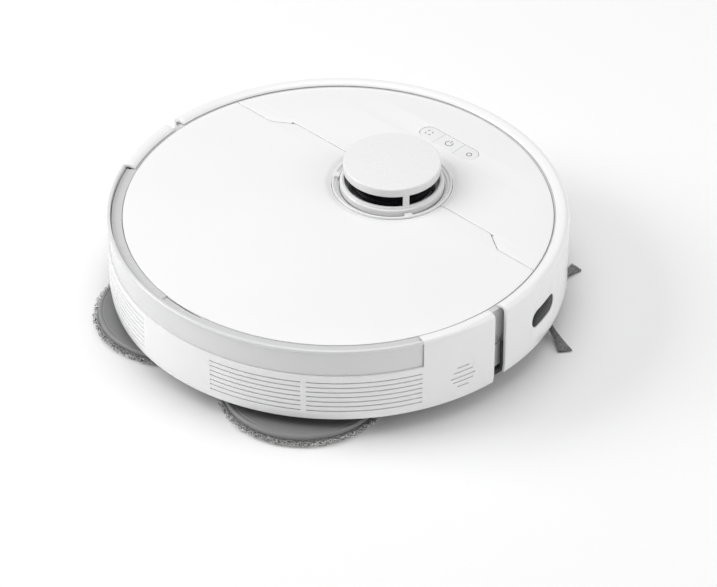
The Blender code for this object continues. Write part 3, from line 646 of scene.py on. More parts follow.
def deck_opening():
    """The tool that opens the deck and the lid for the turret, flared softly at the top."""
    radius = DISH_R + 0.4
    drop = DECK_TOP - DECK_BOTTOM - 0.6
    flare = []
    for step in range(13):
        part = step / 12
        height = DECK_TOP - drop * (1 - math.sin(part * math.pi / 2)) ** 1.1 + 0.01 * part
        flare.append((radius + FLARE * part, height))
    outline = [(0, DECK_BOTTOM - 3), (radius, DECK_BOTTOM - 3)] + flare
    outline += [(radius + FLARE, DECK_TOP + 4), (0, DECK_TOP + 4)]
    return turned("deck_opening", outline, (TURRET.x, TURRET.y, 0))


def lid_border():
    """The lid's outline: the round rear edge and the seam."""
    seam = [(x, y) for x, y in seam_outline(SEAM_GAP) if abs(x) < 130]
    side = SEAM_SIDE_Y + SEAM_GAP
    end = math.degrees(math.asin(side / DECK_R))
    return seam + arc((0, 0), DECK_R, end, 180 - end, 181)


def deck_border():
    """The front deck's outline: the round front edge and the seam."""
    seam = list(reversed(seam_outline(-SEAM_GAP)))
    side = SEAM_SIDE_Y - SEAM_GAP
    end = math.degrees(math.asin(side / DECK_R))
    return seam + arc((0, 0), DECK_R, -180 - end, end, 141)


def deck_and_lid():
    """The two flat covers with their soft rims, the dish's flare and the lid's finger notch."""
    lid = slab("lid_cover", [lid_border()], DECK_BOTTOM, DECK_TOP, 0.35)
    combine(lid, deck_opening())
    notch = block(
        "notch", (-NOTCH_X, DECK_R - 1.0, DECK_BOTTOM - 2), (NOTCH_X, DECK_R + 3, DECK_BOTTOM + 1.2), 0.4)
    combine(lid, notch)
    dress(lid, WHITE, "lid", "white", "lid")
    deck = slab("front_deck_cover", [deck_border()], DECK_BOTTOM, DECK_TOP, 0.35)
    strip = stadium(KEYS_LENGTH + 0.6, KEYS_WIDTH + 0.6)
    opening = slab("keys", [strip], DECK_BOTTOM - 5, DECK_TOP + 5, 0, (*KEYS, 0))
    hinge = middle("lid_hinge_pin_left")
    swing = [
        disc("swing", SWING_R, low, high, (0, hinge.y, hinge.z), 0, "X") for low, high in SWING_SPANS]
    combine(deck, deck_opening(), opening, *swing)
    dress(deck, WHITE, "chassis", "white", "front_deck")
    span = 180 - math.degrees(math.acos(-SEAM_SIDE_Y / DECK_R)) + 1
    rim = hoop(
        "front_deck_rim", (DECK_R - 2.3, DECK_R - 0.4), (LEDGE_TOP - 3.6, DECK_BOTTOM - 0.2), 0.2,
        start=span, end=360 - span)
    dress(rim, WHITE, "chassis", "white")
    line = hoop(
        "deck_gap_strip", (DECK_R - 0.6, DECK_R + 1.5), (DECK_TOP - 2.4, DECK_TOP - 1.6), 0.1,
        start=BAND_END, end=360 - BAND_END)
    dress(line, MID, "chassis", "mid_grey")


def lid_inside():
    """Ribs and two magnets under the lid."""
    under = DECK_BOTTOM - 0.02
    ribs = [
        hoop("rib", (radius, radius + 1.1), (under - 1.1, under), 0.2, start=-58, end=58)
        for radius in (118, 148)]
    ribs += [block("rib", (x - 0.5, 107.5, under - 1.0), (x + 0.5, 139, under), 0.15) for x in (-50, 50)]
    dress(merged("lid_ribs", *ribs), WHITE, "lid", "white")
    magnets = [disc("magnet", 4, under - 1.0, under, (x, 153.5, 0), 0.3) for x in (-9, 9)]
    dress(merged("lid_magnets", *magnets), STEEL, "lid", "steel")


def keys():
    """Three keys in one strip, with a plain mark on each."""
    strip = stadium(KEYS_LENGTH, KEYS_WIDTH)
    for name in ("key_home", "key_power", "key_spot"):
        low, high = corners(name)
        key = slab(name + "_cap", [strip], KEY_BOTTOM, KEY_TOP, 0.3, (*KEYS, 0))
        limits = block("span", (low.x, -FAR, 60), (high.x, 0, 90), 0)
        combine(key, limits, operation="INTERSECT")
        dress(key, KEY_WHITE, name, "pale_grey", name)
    thick = (KEY_TOP - 0.05, KEY_TOP + 0.06)
    x, y = KEYS
    power = hoop("power", (2.7, 3.3), thick, at=(x, y, 0), start=218, end=502, step=6)
    bar = block("bar", (x - 0.32, y - 4.1, thick[0]), (x + 0.32, y - 1.2, thick[1]), 0)
    dress(merged("key_power_mark", power, bar), MARK_GREY, "key_power", "dark_grey")
    spot = hoop("spot", (1.7, 2.3), thick, at=(x - MARK_STEP, y, 0), step=8)
    ends = ["key_home", "key_spot"]
    if corners("key_home")[0].x > x:
        ends.reverse()
    dress(merged(ends[0] + "_mark", spot), MARK_GREY, ends[0], "dark_grey")
    curls = []
    for turn in (45, 135, 225, 315):
        curls.append(hoop(
            "curl", (2.5, 3.1), thick, at=(x + MARK_STEP, y, 0), start=turn - 22, end=turn + 22, step=6))
    dress(merged(ends[1] + "_mark", *curls), MARK_GREY, ends[1], "dark_grey")


# Walls


def upper_frame():
    """The ledge round the deck, the inner wall and the tray with its openings."""
    inner = INNER_R - 2.3
    low, high = LEDGE_TOP - 6.0, LEDGE_TOP - 4.0
    outline = [
        (0, high, 0), (inner - 2.2, high, 0.3), (inner - 2.2, LEDGE_TOP, 0.3),
        (LEDGE_R, LEDGE_TOP, 0.35), (LEDGE_R, LEDGE_TOP - 2.2, 0.3), (INNER_R, LEDGE_TOP - 2.2, 0.1),
        (INNER_R, SPLIT_Z + 0.3, 0.2), (inner, SPLIT_Z + 0.3, 0.2), (inner, low, 0.2), (0, low, 0),
    ]
    shell = turned("upper_frame", soften(outline, 0.2, 3))
    front = hoop("front", (INNER_R - 0.05, FAR), (70, 90), start=BAND_END - 0.2, end=360.2 - BAND_END)
    bin_low, bin_high = corners("dust_box")
    tank_low, tank_high = corners("water_tank")
    rear = tank_high.y + 0.8
    turn = math.degrees(math.acos((tank_high.x + 0.8) / rear))
    tank = [(tank_low.x - 0.8, tank_low.y - 0.8), (tank_high.x + 0.8, tank_low.y - 0.8)]
    tank += arc((0, 0), rear, turn, 180 - turn, 41)
    combine(
        shell, front, wedge(-REAR_OPEN, REAR_OPEN, 40, 60),
        disc("hole", DISH_R + 0.4, 60, 80, (TURRET.x, TURRET.y, 0), 0),
        block("bay", (bin_low.x - 1, bin_low.y - 1, 60), (bin_high.x + 1, bin_high.y + 1, 74), 0),
        slab("bay", [tank], 60, 74),
        block("notch", (-NOTCH_X, DECK_R - 4, LEDGE_TOP - 1.3), (NOTCH_X, DECK_R + 4.4, 90), 0.8),
    )
    dress(shell, LEDGE_GREY, "chassis", "pale_grey", "top_frame")


def rear_wall():
    """The side and rear wall with its vents, the speaker's slots and a liner behind them."""
    wall = turned("rear_wall", wall_profile(WALL_BOTTOM), start=-SIDE_END, end=SIDE_END, step=1.42)
    places = []
    for low, high in VENT_SPANS:
        for start, end in ((low, high), (-high, -low)):
            places += [(z, start, end) for z in VENT_Z]
    for z, width in SPEAKER_SLOTS:
        half = math.degrees(width / 2 / BODY_R)
        places.append((z, SPEAKER_BEARING - half, SPEAKER_BEARING + half))
    slots = []
    for z, start, end in places:
        slots.append(hoop(
            "slot", (SKIN_R - 4, BODY_R + 4), (z - VENT_HALF, z + VENT_HALF), start=start, end=end, step=4))
    band = hoop("band_space", (SKIN_R - 9, FAR), (BAND_LINE, 120), start=-BAND_END, end=BAND_END)
    combine(wall, band, merged("slots", *slots))
    soft_edges(wall, 0.22, 50)
    dress(wall, WHITE, "chassis", "white", "rear_shell")
    liners = [
        hoop("liner", (SKIN_R - 2.6, SKIN_R - 1.6), (22.5, 54), 0.2, start=start, end=end)
        for start, end in ((-66, -10), (10, 66), (-80, -71))]
    dress(merged("vent_liner", *liners), LINER, "chassis", "mid_grey")


def trim_band():
    """The recessed glossy band under its raised lip."""
    lip = arc((BODY_R - 1.4, LIP_TOP - 1.2), 1.2, 90, 0, 7)
    profile = [(LEDGE_R + 0.7, LIP_TOP - 0.3), (LEDGE_R + 1.0, LIP_TOP)] + lip + [
        (BODY_R - 0.25, 78.3), (BODY_R - 0.9, 77.7), (BODY_R - 1.2, 77.2),
        (BODY_R - 1.4, BAND_LINE + 0.3), (BODY_R - 1.6, BAND_LINE + 0.05),
        (SKIN_R - 1.4, BAND_LINE + 0.05), (LEDGE_R + 0.3, 72),
    ]
    band = turned("trim_band", profile, start=0.15 - BAND_END, end=BAND_END - 0.15, step=1.5)
    soft_edges(band, 0.15, 55)
    dress(band, BAND_WHITE, "chassis", "white", "rear_trim_band")


def lens(name, bearing, height, length, width):
    """A dark window set in the bumper, with a softened rim."""
    plate = slab(name, [stadium(length - LENS_SEAM, width - LENS_SEAM)], 150, 190)
    pane = hoop(
        name + "_pane", (SKIN_R - 0.2, BODY_R - 0.5), (30, 75), 0.1,
        start=bearing - 16, end=bearing + 16, step=1)
    combine(pane, facing_out(plate, bearing, height), operation="INTERSECT")
    soft_edges(pane, 0.35, 50)
    dress(pane, BLACK, "bumper", "black", name)


def bumper():
    """The front bumper with its soft rim, two windows and the seals at its ends."""
    shell = turned(
        "bumper_cover", wall_profile(BUMPER_BOTTOM), start=BUMPER_END, end=360 - BUMPER_END, step=1.5)
    openings = []
    for name, facts in (("edge_sensor_window", EDGE_LENS), ("front_ir_window", FRONT_LENS)):
        bearing, height, length, width = facts
        opening = slab("opening", [stadium(length, width)], 150, 190)
        openings.append(facing_out(opening, bearing, height))
        lens(name, *facts)
    combine(shell, *openings)
    soft_edges(shell, 0.25, 50)
    dress(shell, WHITE, "bumper", "white", "bumper_shell")
    for side, name in ((-1, "right"), (1, "left")):
        start, end = sorted((side * (BUMPER_END - 0.75), side * (BUMPER_END - 0.05)))
        seal = hoop(
            "bumper_seal_" + name, (SKIN_R - 1.3, SKIN_R - 0.2), (24, 49), 0.3,
            start=start, end=end, step=0.35)
        dress(seal, SEAL, "bumper", "rubber")
        start, end = sorted((side * (SIDE_END + 0.3), side * (BUMPER_END + 3)))
        ring = soften([
            (INNER_R + 0.1, 18.6), (INNER_R + 2.6, 18.6), (INNER_R + 2.6, 22.6), (INNER_R + 0.1, 24.6)], 0.3)
        strip = turned("slit_strip_" + name, ring, start=start, end=end, step=1)
        dress(strip, SEAL, "chassis", "rubber")
        face = hoop(
            "slit_face_" + name, (INNER_R + 0.05, INNER_R + 0.7), (25, SPLIT_Z + 0.35), 0.1,
            start=start, end=end, step=1)
        dress(face, LEDGE_GREY, "chassis", "pale_grey")


# Laser turret


def turret():
    """The dish with its stepped rings, the cover on three posts and the spinning head."""
    x, y, _ = TURRET
    dish = [
        (0, 59, 0), (33, 59, 0.5), (33, 72, 0.8), (40.6, 72, 0.4), (40.6, 73.4, 0.3), (42.2, 73.4, 0.3),
        (42.2, 75.4, 0.4), (44.0, 75.4, 0.4), (44.6, 77.0, 0.5), (DISH_R, 77.2, 0.5), (DISH_R, 70, 0.3),
        (35, 70, 0.5), (35, 57, 0.3), (0, 57, 0),
    ]
    base = turned("turret_dish", soften(dish, 0.3), (x, y, 0))
    ring = soften([(41.2, 75.6), (41.2, 76.9), (DISH_R + 0.5, 77.25), (DISH_R + 0.5, 76.0)], 0.2)
    bridges = [turned("bridge", ring, (x, y, 0), start=turn - 4, end=turn + 4) for turn in POST_BEARINGS]
    dress(merged("turret_dish_bridges", *bridges), CAP_WHITE, "chassis", "white")
    dress(base, CAP_WHITE, "chassis", "white", "lidar_base")
    inside = TURRET_R - 1.8
    cap = [(0, TURRET_TOP)] + arc((TURRET_R - 1.4, TURRET_TOP - 1.4), 1.4, 90, 0, 7)
    cap += [(TURRET_R, WINDOW_Z[1]), (inside, WINDOW_Z[1]), (inside, 93.4), (0, 94.4)]
    cover = turned("turret_cap", cap, (x, y, 0))
    cage = soften([
        (36.4, WINDOW_Z[0], 0.4), (38.6, WINDOW_Z[0], 0.7), (38.9, 79.4, 0.5), (40.1, 78.7, 0.5),
        (40.1, 73.8, 0.3), (37.6, 73.8, 0.3),
    ], 0.3)
    posts = []
    for bearing in POST_BEARINGS:
        post = block("post", (-2.5, -1.1, WINDOW_Z[0] - 1.5), (2.5, 0.9, WINDOW_Z[1] + 1.5), 0.5)
        px, py = polar(36.9, bearing)
        posts.append(placed(post, (x + px, y + py, 0), -math.radians(bearing)))
    combine(cover, turned("cage", cage, (x, y, 0)), *posts, operation="UNION")
    soft_edges(cover, 0.2, 60)
    dress(cover, CAP_WHITE, "turret_cover", "white", "lidar_cover")
    low, top = corners("lidar_head")[0].z, corners("lidar_head")[1].z
    shape = soften([
        (0, top, 0), (27, top, 1.2), (29.7, top - 3, 0.8), (30, 80, 0.5), (31.4, 79.2, 0.4),
        (31.4, 76.6, 0.4), (6, 76.6, 0.4), (6, low, 0.3), (0, low, 0),
    ], 0.4)
    head = turned("turret_head_drum", shape, (x, y, 0), step=3)
    eyes = [disc("eye", 5, 26.2, 40, edge=0, axis="X") for _ in range(2)]
    for eye, side in zip(eyes, (-1, 1)):
        placed(eye, (x + side * 9, y, 86), math.pi / 2)
    combine(head, *eyes)
    soft_edges(head, 0.2, 60)
    dress(head, BLACK, "turret_head", "black", "lidar_head")


# Wheels


def drive_wheels():
    """Rubber tyres with chevron lugs on spoked hubs, and the swing arms with their screws."""
    half, lugs = WHEEL_HALF, 30
    for side, name in ((-1, "right"), (1, "left")):
        centre = (side * WHEEL.x, WHEEL.y, WHEEL_R)
        carcass = soften([
            (28.3, half, 0.4), (30.6, half, 0.8), (WHEEL_R - 1.6, half - 1.2), (WHEEL_R - 1.6, 1.2 - half),
            (30.6, -half, 0.8), (28.3, -half, 0.4),
        ], 0.6)
        parts = [turned("carcass", carcass, centre, axis="X")]
        for index in range(lugs):
            for way in (-1, 1):
                lug = block("lug", (0.4, -1.5, WHEEL_R - 2.4), (half - 0.9, 1.5, WHEEL_R - 0.05), 0.35)
                shear = Matrix.Identity(4)
                shear[1][0] = 0.42
                lug.data.transform(Matrix.Diagonal((way, 1, 1, 1)) @ shear)
                if way < 0:
                    lug.data.flip_normals()
                place = index + (0.5 if way < 0 else 0)
                parts.append(placed(lug, centre, 2 * math.pi * place / lugs, "X"))
        tyre = merged("tyre_tread_" + name, *parts)
        dress(tyre, RUBBER, "wheel_" + name, "rubber", "tyre_" + name)
        rim = soften([
            (4.4, half - 1, 0.3), (11, half - 1), (12.5, half - 4, 0.6), (22, half - 4, 0.8),
            (24, half - 1, 0.6), (28, half - 1, 0.5), (28, 1 - half, 0.5), (4.4, 1 - half, 0.3),
        ], 0.6)
        hub = turned("hub", rim, centre, axis="X")
        spokes = []
        for index in range(6):
            for near, far in ((half - 5, half - 1.6), (1.6 - half, 5 - half)):
                rib = block("rib", (near, -1.1, 11), (far, 1.1, 23.5), 0.4)
                spokes.append(placed(rib, centre, math.pi / 3 * index, "X"))
        combine(hub, *spokes, operation="UNION")
        dress(hub, MID, "wheel_" + name, "mid_grey", "wheel_hub_" + name, angle=40)
        refined("swing_arm_" + name, MID, "mid_grey", 0.6)
        refined("wheel_housing_" + name, DARK, "dark_grey", 0.5)


def caster():
    """The front caster with a smooth wheel and a softened fork."""
    low, high = corners("caster_wheel")
    centre = (low + high) / 2
    radius = (high.z - low.z) / 2
    shape = soften([
        (1.8, 6.2, 0.3), (6.5, 6.2, 0.4), (7.2, 5.2, 0.4), (8.4, 5.2, 0.4), (9.6, 6.2, 0.8),
        (radius, 4.4, 1.8), (radius, -4.4, 1.8), (9.6, -6.2, 0.8), (8.4, -5.2, 0.4), (7.2, -5.2, 0.4),
        (6.5, -6.2, 0.4), (1.8, -6.2, 0.3),
    ], 0.4)
    wheel = turned("caster_roller", shape, centre, step=4, axis="X")
    dress(wheel, RUBBER, "caster_wheel", "rubber", "caster_wheel")
    refined("caster_fork", DARK, "dark_grey", 0.4)
    refined("caster_axle", STEEL, "steel", 0.2)


# Brushes


def roller():
    """The roller: six rubber blades in a V with bristle rows between them, on a core with end discs."""
    centre = Vector((0, ROLLER.y, ROLLER.z))
    blades, rows, lead_total = 6, 48, 40.0
    blade = (
        (-23, 10.9), (-9, 11.0), (-3.6, 12.4), (-2.6, ROLLER_R - 0.6), (-1.2, ROLLER_R), (1.2, ROLLER_R),
        (2.6, ROLLER_R - 0.6), (3.6, 12.4), (9, 11.0), (23, 10.9),
    )
    half = ROLLER_HALF - 0.1
    rings = []
    for row in range(rows + 1):
        along = -half + 2 * half * row / rows
        lead = lead_total * (1 - abs(along) / half)
        ring = []
        for index in range(blades):
            for offset, radius in blade:
                turn = math.radians(360 / blades * index + offset + lead)
                ring.append(centre + Vector((along, radius * math.cos(turn), radius * math.sin(turn))))
        rings.append(ring)
    bm = bmesh.new()
    tube(bm, rings)
    dress(new_object("roller_blades", bm), BLUE, "main_brush", "blue", "main_brush_fins", angle=40)
    random.seed(7)
    bm = bmesh.new()
    for index in range(blades):
        for step in range(96):
            along = -half + 1.5 + (2 * half - 3) * step / 95
            lead = lead_total * (1 - abs(along) / half)
            turn = math.radians(360 / blades * (index + 0.5) + lead + random.uniform(-2, 2))
            reach = ROLLER_R - random.uniform(0.6, 1.8)
            outward = Vector((random.uniform(-0.04, 0.04), math.cos(turn), math.sin(turn)))
            root = centre + Vector((along, 0, 0))
            strand(bm, root + outward * 10.6, root + outward * reach, 0.22, 0.12)
    dress(new_object("roller_bristles", bm), BRISTLE, "main_brush", "bristle")
    refined("main_brush_core", MID, "mid_grey", 0.5)
    refined("brush_chamber", DARK, "dark_grey", 0.4)
    refined("brush_guard", DARK, "dark_grey", 0.35)


def strand(bm, start, end, thick, thin, bend=(0, 0, 0), steps=2):
    """One tapered bristle between two points, bowed by a bend at its middle."""
    start, end, bend = Vector(start), Vector(end), Vector(bend)
    along = (end - start).normalized()
    rings = []
    for step in range(steps + 1):
        part = step / steps
        centre = start.lerp(end, part) + bend * 4 * part * (1 - part)
        rings.append(section(centre, along, thick + (thin - thick) * part))
    tube(bm, rings)


def side_brush():
    """The side brush: a hub with ribbed arms, and three flared tufts of single bristles."""
    x, y = SIDE_BRUSH.x, SIDE_BRUSH.y
    body = soften([
        (0, 16, 0), (3.9, 16, 0.3), (3.9, 8.6, 0.2), (12.6, 8.6, 0.8), (13.5, 7.6, 0.8), (13.5, 5.0, 0.8),
        (11.5, 4.2, 0.8), (5.5, 4.2, 0.2), (5.0, 5.0, 0.2), (0, 5.0, 0),
    ], 0.4)
    hub = turned("side_brush_boss", body, (x, y, 0), step=5)
    outline = soften([
        (9, -4.4, 1), (22, -3.4, 2), (27, -3.9, 1.2), (27, 3.9, 1.2), (22, 3.4, 2), (9, 4.4, 1)], 1)
    arms = []
    for index in range(3):
        turn = math.radians(SIDE_BRUSH_TURN + 120 * index)
        arms.append(placed(slab("arm", [outline], 4.6, 8.0, 0.6), (x, y, 0), turn))
        random.seed(20 + index)
        bm = bmesh.new()
        for _ in range(BRISTLES):
            fan = random.uniform(-1, 1)
            layer = random.random()
            root = Vector((25.5, fan * 2.2, 5.2 + layer * 1.6))
            length = BRISTLE_TIP - random.random() ** 2 * 1.6 + fan * 1.2
            tip = Vector((length, fan * 5.2, 0.7 + layer * 1.5))
            strand(bm, root, tip, 0.26, 0.17, (0, fan * -1.3, random.uniform(0.0, 0.5)), 5)
        tuft = placed(new_object(f"side_brush_bristles_{index + 1}", bm), (x, y, 0), turn)
        dress(tuft, BRISTLE, "side_brush", "bristle", f"side_brush_tuft_{index + 1}")
    combine(hub, *arms, operation="UNION")
    dress(hub, DARK, "side_brush", "dark_grey", "side_brush_hub", angle=40)
    screw = disc("side_brush_screw", 3.4, 4.3, 5.3, (x, y, 0), 0.4, step=8)
    combine(screw, block("slot", (x - 2.1, y - 0.4, 3.8), (x + 2.1, y + 0.4, 4.8), 0),
            block("slot", (x - 0.41, y - 2.1, 3.8), (x + 0.41, y + 2.1, 4.81), 0))
    dress(screw, STEEL, "side_brush", "steel")
    refined("side_brush_motor", MID, "mid_grey", 0.5)


# Mops


def loop(bm, root, outward, rise, size, thick):
    """One loop of yarn standing on a root, as a bent three-sided tube."""
    across = outward.cross(Vector((0, 0, 1))).normalized()
    path = []
    for step in range(6):
        turn = math.pi * 1.25 * (step / 5) - math.pi * 0.125
        out = outward * (size * 0.9 * (0.25 + math.sin(turn)))
        path.append(
            root + out + across * (size * 0.55 * math.cos(turn)) + Vector((0, 0, rise * math.sin(turn))))
    rings = []
    for index, point in enumerate(path):
        along = (path[min(index + 1, 5)] - path[max(index - 1, 0)]).normalized()
        rings.append(section(point, along, thick))
    tube(bm, rings)


def mop_pad(side, name):
    """A round pad: a soft base whose rim and face are covered with loops of yarn."""
    centre = Vector((side * MOP.x, MOP.y, 0))
    random.seed(31 + side)
    body = PAD_R - 2.6
    shape = soften([
        (0, PAD_TOP, 0), (body, PAD_TOP, 1.2), (body + 0.6, 2.4, 1.5), (body - 1.0, 0.7, 1.0), (0, 0.9, 0),
    ], 1.0)
    base = turned("mop_base_" + name, shape, centre, step=3)
    dress(base, PILE_BASE, "mop_" + name, "cloth", "mop_pad_" + name)
    bm = bmesh.new()
    rows = ((0.2, 4.0, 0.3), (0.0, 3.1, 0.1), (0.2, 2.2, 0.0), (1.2, 1.3, -0.2))
    for row, (inset, height, rise) in enumerate(rows):
        for index in range(FRINGE_LOOPS):
            bearing = 360 / FRINGE_LOOPS * (index + 0.5 * (row % 2)) + random.uniform(-0.6, 0.6)
            outward = Vector((*polar(1.0, bearing), 0))
            lift = Vector((0, 0, height + random.uniform(-0.3, 0.3)))
            loop(bm, centre + outward * (body - inset) + lift, outward,
                 rise + random.uniform(-0.2, 0.3), random.uniform(1.5, 3.4), YARN_R)
    dress(new_object("mop_fringe_" + name, bm), FRINGE, "mop_" + name, "cloth")
    bm = bmesh.new()
    radius = 5.0
    while radius < body - 1.5:
        count = int(2 * math.pi * radius / 3.6)
        for index in range(count):
            bearing = 360 / count * index + random.uniform(-8, 8) / radius * 5
            outward = Vector((*polar(1.0, bearing), 0))
            aim = Matrix.Rotation(random.uniform(0, 2 * math.pi), 3, "Z") @ outward
            root = centre + outward * radius + Vector((0, 0, 1.0))
            loop(bm, root, aim, -0.68, random.uniform(1.3, 1.8), YARN_R - 0.01)
        radius += 3.1
    dress(new_object("mop_face_" + name, bm), PILE, "mop_" + name, "cloth")


def mops():
    """Two mop discs: a plate with a fine rim line and ribs, the pad, the spindle and the drive above."""
    top = PLATE_FOOT + 3.6
    shape = soften([
        (0, PLATE_PEAK, 0), (10.0, PLATE_PEAK, 0.5), (11.0, PLATE_PEAK - 1.2, 0.5), (12.4, top, 0.8),
        (40.0, top - 0.6, 9.0), (56.6, top - 0.1, 0.3), (57.0, top - 0.35, 0.2), (57.5, top - 0.35, 0.2),
        (57.9, top - 0.05, 0.3), (PLATE_R - 0.9, top - 0.2, 0.8), (PLATE_R, top - 1.4, 0.7),
        (PLATE_R, PLATE_FOOT, 0.3), (0, PLATE_FOOT, 0),
    ], 0.5)
    for side, name in ((-1, "right"), (1, "left")):
        centre = (side * MOP.x, MOP.y, 0)
        plate = turned("mop_disc_" + name, shape, centre, step=3)
        dress(plate, PLATE_GREY_PAINTED_LIGHT, "mop_" + name, "dark_grey", "mop_plate_" + name)
        ribs = []
        for index in range(12):
            rib = block("rib", (-0.45, 14, top - 1.4), (0.45, 40, top + 0.3), 0.2)
            ribs.append(placed(rib, centre, math.pi / 6 * index))
        dress(merged("mop_disc_ribs_" + name, *ribs), PLATE_GREY_PAINTED_LIGHT, "mop_" + name, "dark_grey")
        refined("mop_spindle_" + name, STEEL, "steel", 0.4)
        mop_pad(side, name)
    refined("mop_carriage", MID, "mid_grey", 0.8)


# The underside


def base():
    """The lower shell with its wells, recesses, screw pits and fine grooves."""
    inner = INNER_R - 2.3
    floor_top = FLOOR_BOTTOM + 2.5
    outline = [
        (0, floor_top, 0), (158.6, floor_top, 1), (inner, 19.6, 1), (inner, SPLIT_Z, 0.3),
        (INNER_R, SPLIT_Z, 0.3), (INNER_R, 18.5, 2.0), (160, FLOOR_BOTTOM, 3.0), (0, FLOOR_BOTTOM, 0),
    ]
    shell = turned("chassis_floor", soften(outline, 0.4))
    opening = slab("mops", [mop_outline(MOP_RECESS_R + 1)], -5, RECESS_TOP + 0.8)
    combine(shell, wedge(-REAR_OPEN, REAR_OPEN, 24, SPLIT_Z + 5), opening)
    roof = slab("mop_roof", [mop_outline(MOP_RECESS_R + 2)], FLOOR_BOTTOM + 1, RECESS_TOP + 2)
    limit = disc("limit", INNER_R - 1, 0, 40, edge=0, step=2)
    combine(roof, slab("recess", [mop_outline(MOP_RECESS_R)], -5, RECESS_TOP))
    combine(roof, limit, operation="INTERSECT")
    combine(shell, roof, operation="UNION")
    tools = []
    for side, name in ((-1, "right"), (1, "left")):
        tools.append(disc("hole", 12.5, 0, 40, (side * MOP.x, MOP.y, 0), 0, step=6))
        low, high = corners("wheel_housing_" + name)
        near, far = (low.x + 1.5, high.x - 2.5) if side > 0 else (low.x + 2.5, high.x - 1.5)
        tools.append(block("well", (near, low.y + 2, 0), (far, high.y - 1.6, 30), 0))
        x, y, _ = middle("charging_contact_" + name)
        tools.append(block("recess", (x - 11.3, y - 4.3, 0), (x + 11.3, y + 4.3, 10), 0))
    low, high = corners("brush_chamber")
    tools.append(block("inlet", (low.x + 2, low.y + 2, 0), (high.x - 2, -38.5, 30), 0))
    low, high = corners("battery_cover")
    tools.append(block("bay", (low.x - 0.3, low.y - 0.3, 0), (high.x + 0.3, high.y + 0.3, 30), 0))
    combine(shell, *tools)
    pivot = (0, middle("caster_fork").y, 0)
    combine(shell, disc("pocket", 18.3, 10, 29, pivot, 0.4, step=5), operation="UNION")
    tools = [
        disc("space", 16.5, 0, 27, pivot, 0, step=5), disc("stem", 3.4, 0, 40, pivot, 0),
        disc("shaft", 4.6, 0, 40, (SIDE_BRUSH.x, SIDE_BRUSH.y, 0), 0)]
    for bearing in SCREW_BEARINGS:
        place = (*polar(SCREW_PLACE_R, bearing), 0)
        tools.append(disc("screw_pit", 3.6, FLOOR_BOTTOM - 2, FLOOR_BOTTOM + 1.2, place, 0))
    for row in range(7):
        low = Vector((-38, -18 + row * 6, FLOOR_BOTTOM - 2))
        tools.append(block("groove", low, low + Vector((76, 1.4, 2.7)), 0))
    combine(shell, *tools)
    dress(shell, DARK, "chassis", "dark_grey", "base_shell", angle=40)


def base_fittings():
    """Screws, cliff windows, the battery cover and the charging contacts under the floor."""
    heads = []
    for bearing in SCREW_BEARINGS:
        x, y = polar(SCREW_PLACE_R, bearing)
        head = disc("head", 3.0, FLOOR_BOTTOM + 0.2, FLOOR_BOTTOM + 1.25, (x, y, 0), 0.4, step=12)
        combine(head, block("slot", (x - 2, y - 0.35, 0), (x + 2, y + 0.35, FLOOR_BOTTOM + 0.7), 0),
                block("slot", (x - 0.36, y - 2, 0), (x + 0.36, y + 2, FLOOR_BOTTOM + 0.69), 0))
        heads.append(head)
    dress(merged("floor_screws", *heads), STEEL, "chassis", "steel")
    panes = []
    for bearing in CLIFF_BEARINGS:
        pane = slab("pane", [stadium(16, 7)], FLOOR_BOTTOM - 0.35, FLOOR_BOTTOM + 0.4, 0.3)
        panes.append(placed(pane, (*polar(CLIFF_PLACE_R, bearing), 0), -math.radians(bearing)))
    dress(merged("cliff_windows", *panes), BLACK, "chassis", "black")
    refined("battery_cover", DARK, "dark_grey", 0.5)
    bottom, y = corners("battery_cover")[0].z, middle("battery_cover").y
    latches = [
        disc("latch", 3.0, bottom - 0.5, bottom + 0.3, (side * 58, y, 0), 0.3, step=12) for side in (-1, 1)]
    dress(merged("battery_cover_screws", *latches), STEEL, "chassis", "steel")
    for name in ("charging_contact_left", "charging_contact_right"):
        refined(name, CONTACT, "brass", 0.25)


def mop_outline(radius):
    """Two circles about the mops, open between them towards the rear."""
    start = 180 + math.degrees(math.acos((MOP.x - 0.1) / radius))
    left = arc((MOP.x, MOP.y), radius, start, 450, 46)
    right = [(-x, y) for x, y in reversed(left)]
    return left + [(60, FAR), (-60, FAR)] + right


# What the lid and the shells hide


def insides():
    """The boxes under the lid, the battery, the board, the fan, the speaker and the hinge pins."""
    for node, material, slot, width in (
        ("dust_box", SMOKE, "smoke", 0.8),
        ("dust_box_lid", KEY_WHITE, "pale_grey", 0.5),
        ("dust_filter", PAPER_PAINTED_SHADE, "white", 0.4),
        ("water_tank", SMOKE, "smoke", 0.8),
        ("water_tank_plug", BLUE, "blue", 0.4),
        ("battery_pack", BLUE, "blue", 0.6),
        ("main_board", BOARD, "green", 0.15),
        ("fan_housing", MID, "mid_grey", 0.4),
        ("fan_impeller", FOAM_WHITE, "white", 0.15),
        ("speaker", SEAL, "black", 0.6),
        ("lid_hinge_pin_left", STEEL, "steel", 0.1),
        ("lid_hinge_pin_right", STEEL, "steel", 0.1),
    ):
        refined(node, material, slot, width)


# Studio


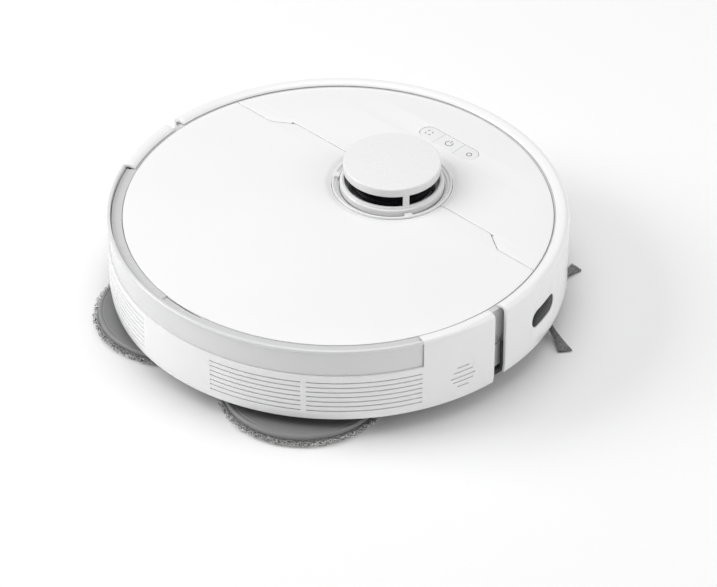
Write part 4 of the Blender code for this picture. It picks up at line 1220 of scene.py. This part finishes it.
def studio():
    """A pale floor that is clear from below, and soft light from above, both sides and below."""
    bm = bmesh.new()
    bmesh.ops.create_grid(bm, x_segments=1, y_segments=1, size=6.0)
    floor = new_object("studio_floor", bm)
    made = bpy.data.materials.new("studio_floor")
    made.use_nodes = True
    tree = made.node_tree
    shader = tree.nodes["Principled BSDF"]
    shader.inputs["Base Color"].default_value = (0.93, 0.93, 0.93, 1)
    shader.inputs["Roughness"].default_value = 0.9
    below = tree.nodes.new("ShaderNodeNewGeometry")
    clear = tree.nodes.new("ShaderNodeBsdfTransparent")
    mix = tree.nodes.new("ShaderNodeMixShader")
    tree.links.new(below.outputs["Backfacing"], mix.inputs["Fac"])
    tree.links.new(shader.outputs["BSDF"], mix.inputs[1])
    tree.links.new(clear.outputs["BSDF"], mix.inputs[2])
    tree.links.new(mix.outputs["Shader"], tree.nodes["Material Output"].inputs["Surface"])
    floor.data.materials.append(made)
    floor.visible_shadow = False
    scene = bpy.context.scene
    scene.view_settings.view_transform = "Standard"
    world = bpy.data.worlds.new("studio")
    scene.world = world
    world.use_nodes = True
    sky = world.node_tree.nodes["Background"]
    sky.inputs["Color"].default_value = (1, 1, 1, 1)
    sky.inputs["Strength"].default_value = 0.37
    aim = Vector((0, 0, 0.05))
    for name, place, size, power in (
        ("key", (1.9, 1.5, 1.7), 1.6, 46.0),
        ("fill", (-1.9, -1.3, 1.2), 1.6, 15.0),
        ("top", (0.0, 0.0, 2.6), 2.4, 29.0),
        ("under", (0.3, -0.2, -1.6), 1.8, 16.0),
    ):
        light = bpy.data.lights.new(name, "AREA")
        light.size = size
        light.energy = power
        stand(name, light, place, aim - Vector(place))
    camera = bpy.data.cameras.new("camera")
    camera.sensor_width = 36.0
    camera.lens = 200.8
    camera.clip_end = 30
    scene.camera = stand("camera", camera, (-1.6945, 1.7389, 1.8830), (0.5477, -0.5692, -0.6132))


def stand(name, data, place, direction):
    """A light or camera at a place in metres, looking along a direction."""
    obj = bpy.data.objects.new(name, data)
    obj.location = place
    obj.rotation_euler = Vector(direction).to_track_quat("-Z", "Y").to_euler()
    bpy.context.scene.collection.objects.link(obj)
    return obj


def main():
    """Builds every piece in its place."""
    deck_and_lid()
    lid_inside()
    keys()
    upper_frame()
    rear_wall()
    trim_band()
    bumper()
    turret()
    drive_wheels()
    caster()
    roller()
    side_brush()
    mops()
    base()
    base_fittings()
    insides()
    studio()


main()
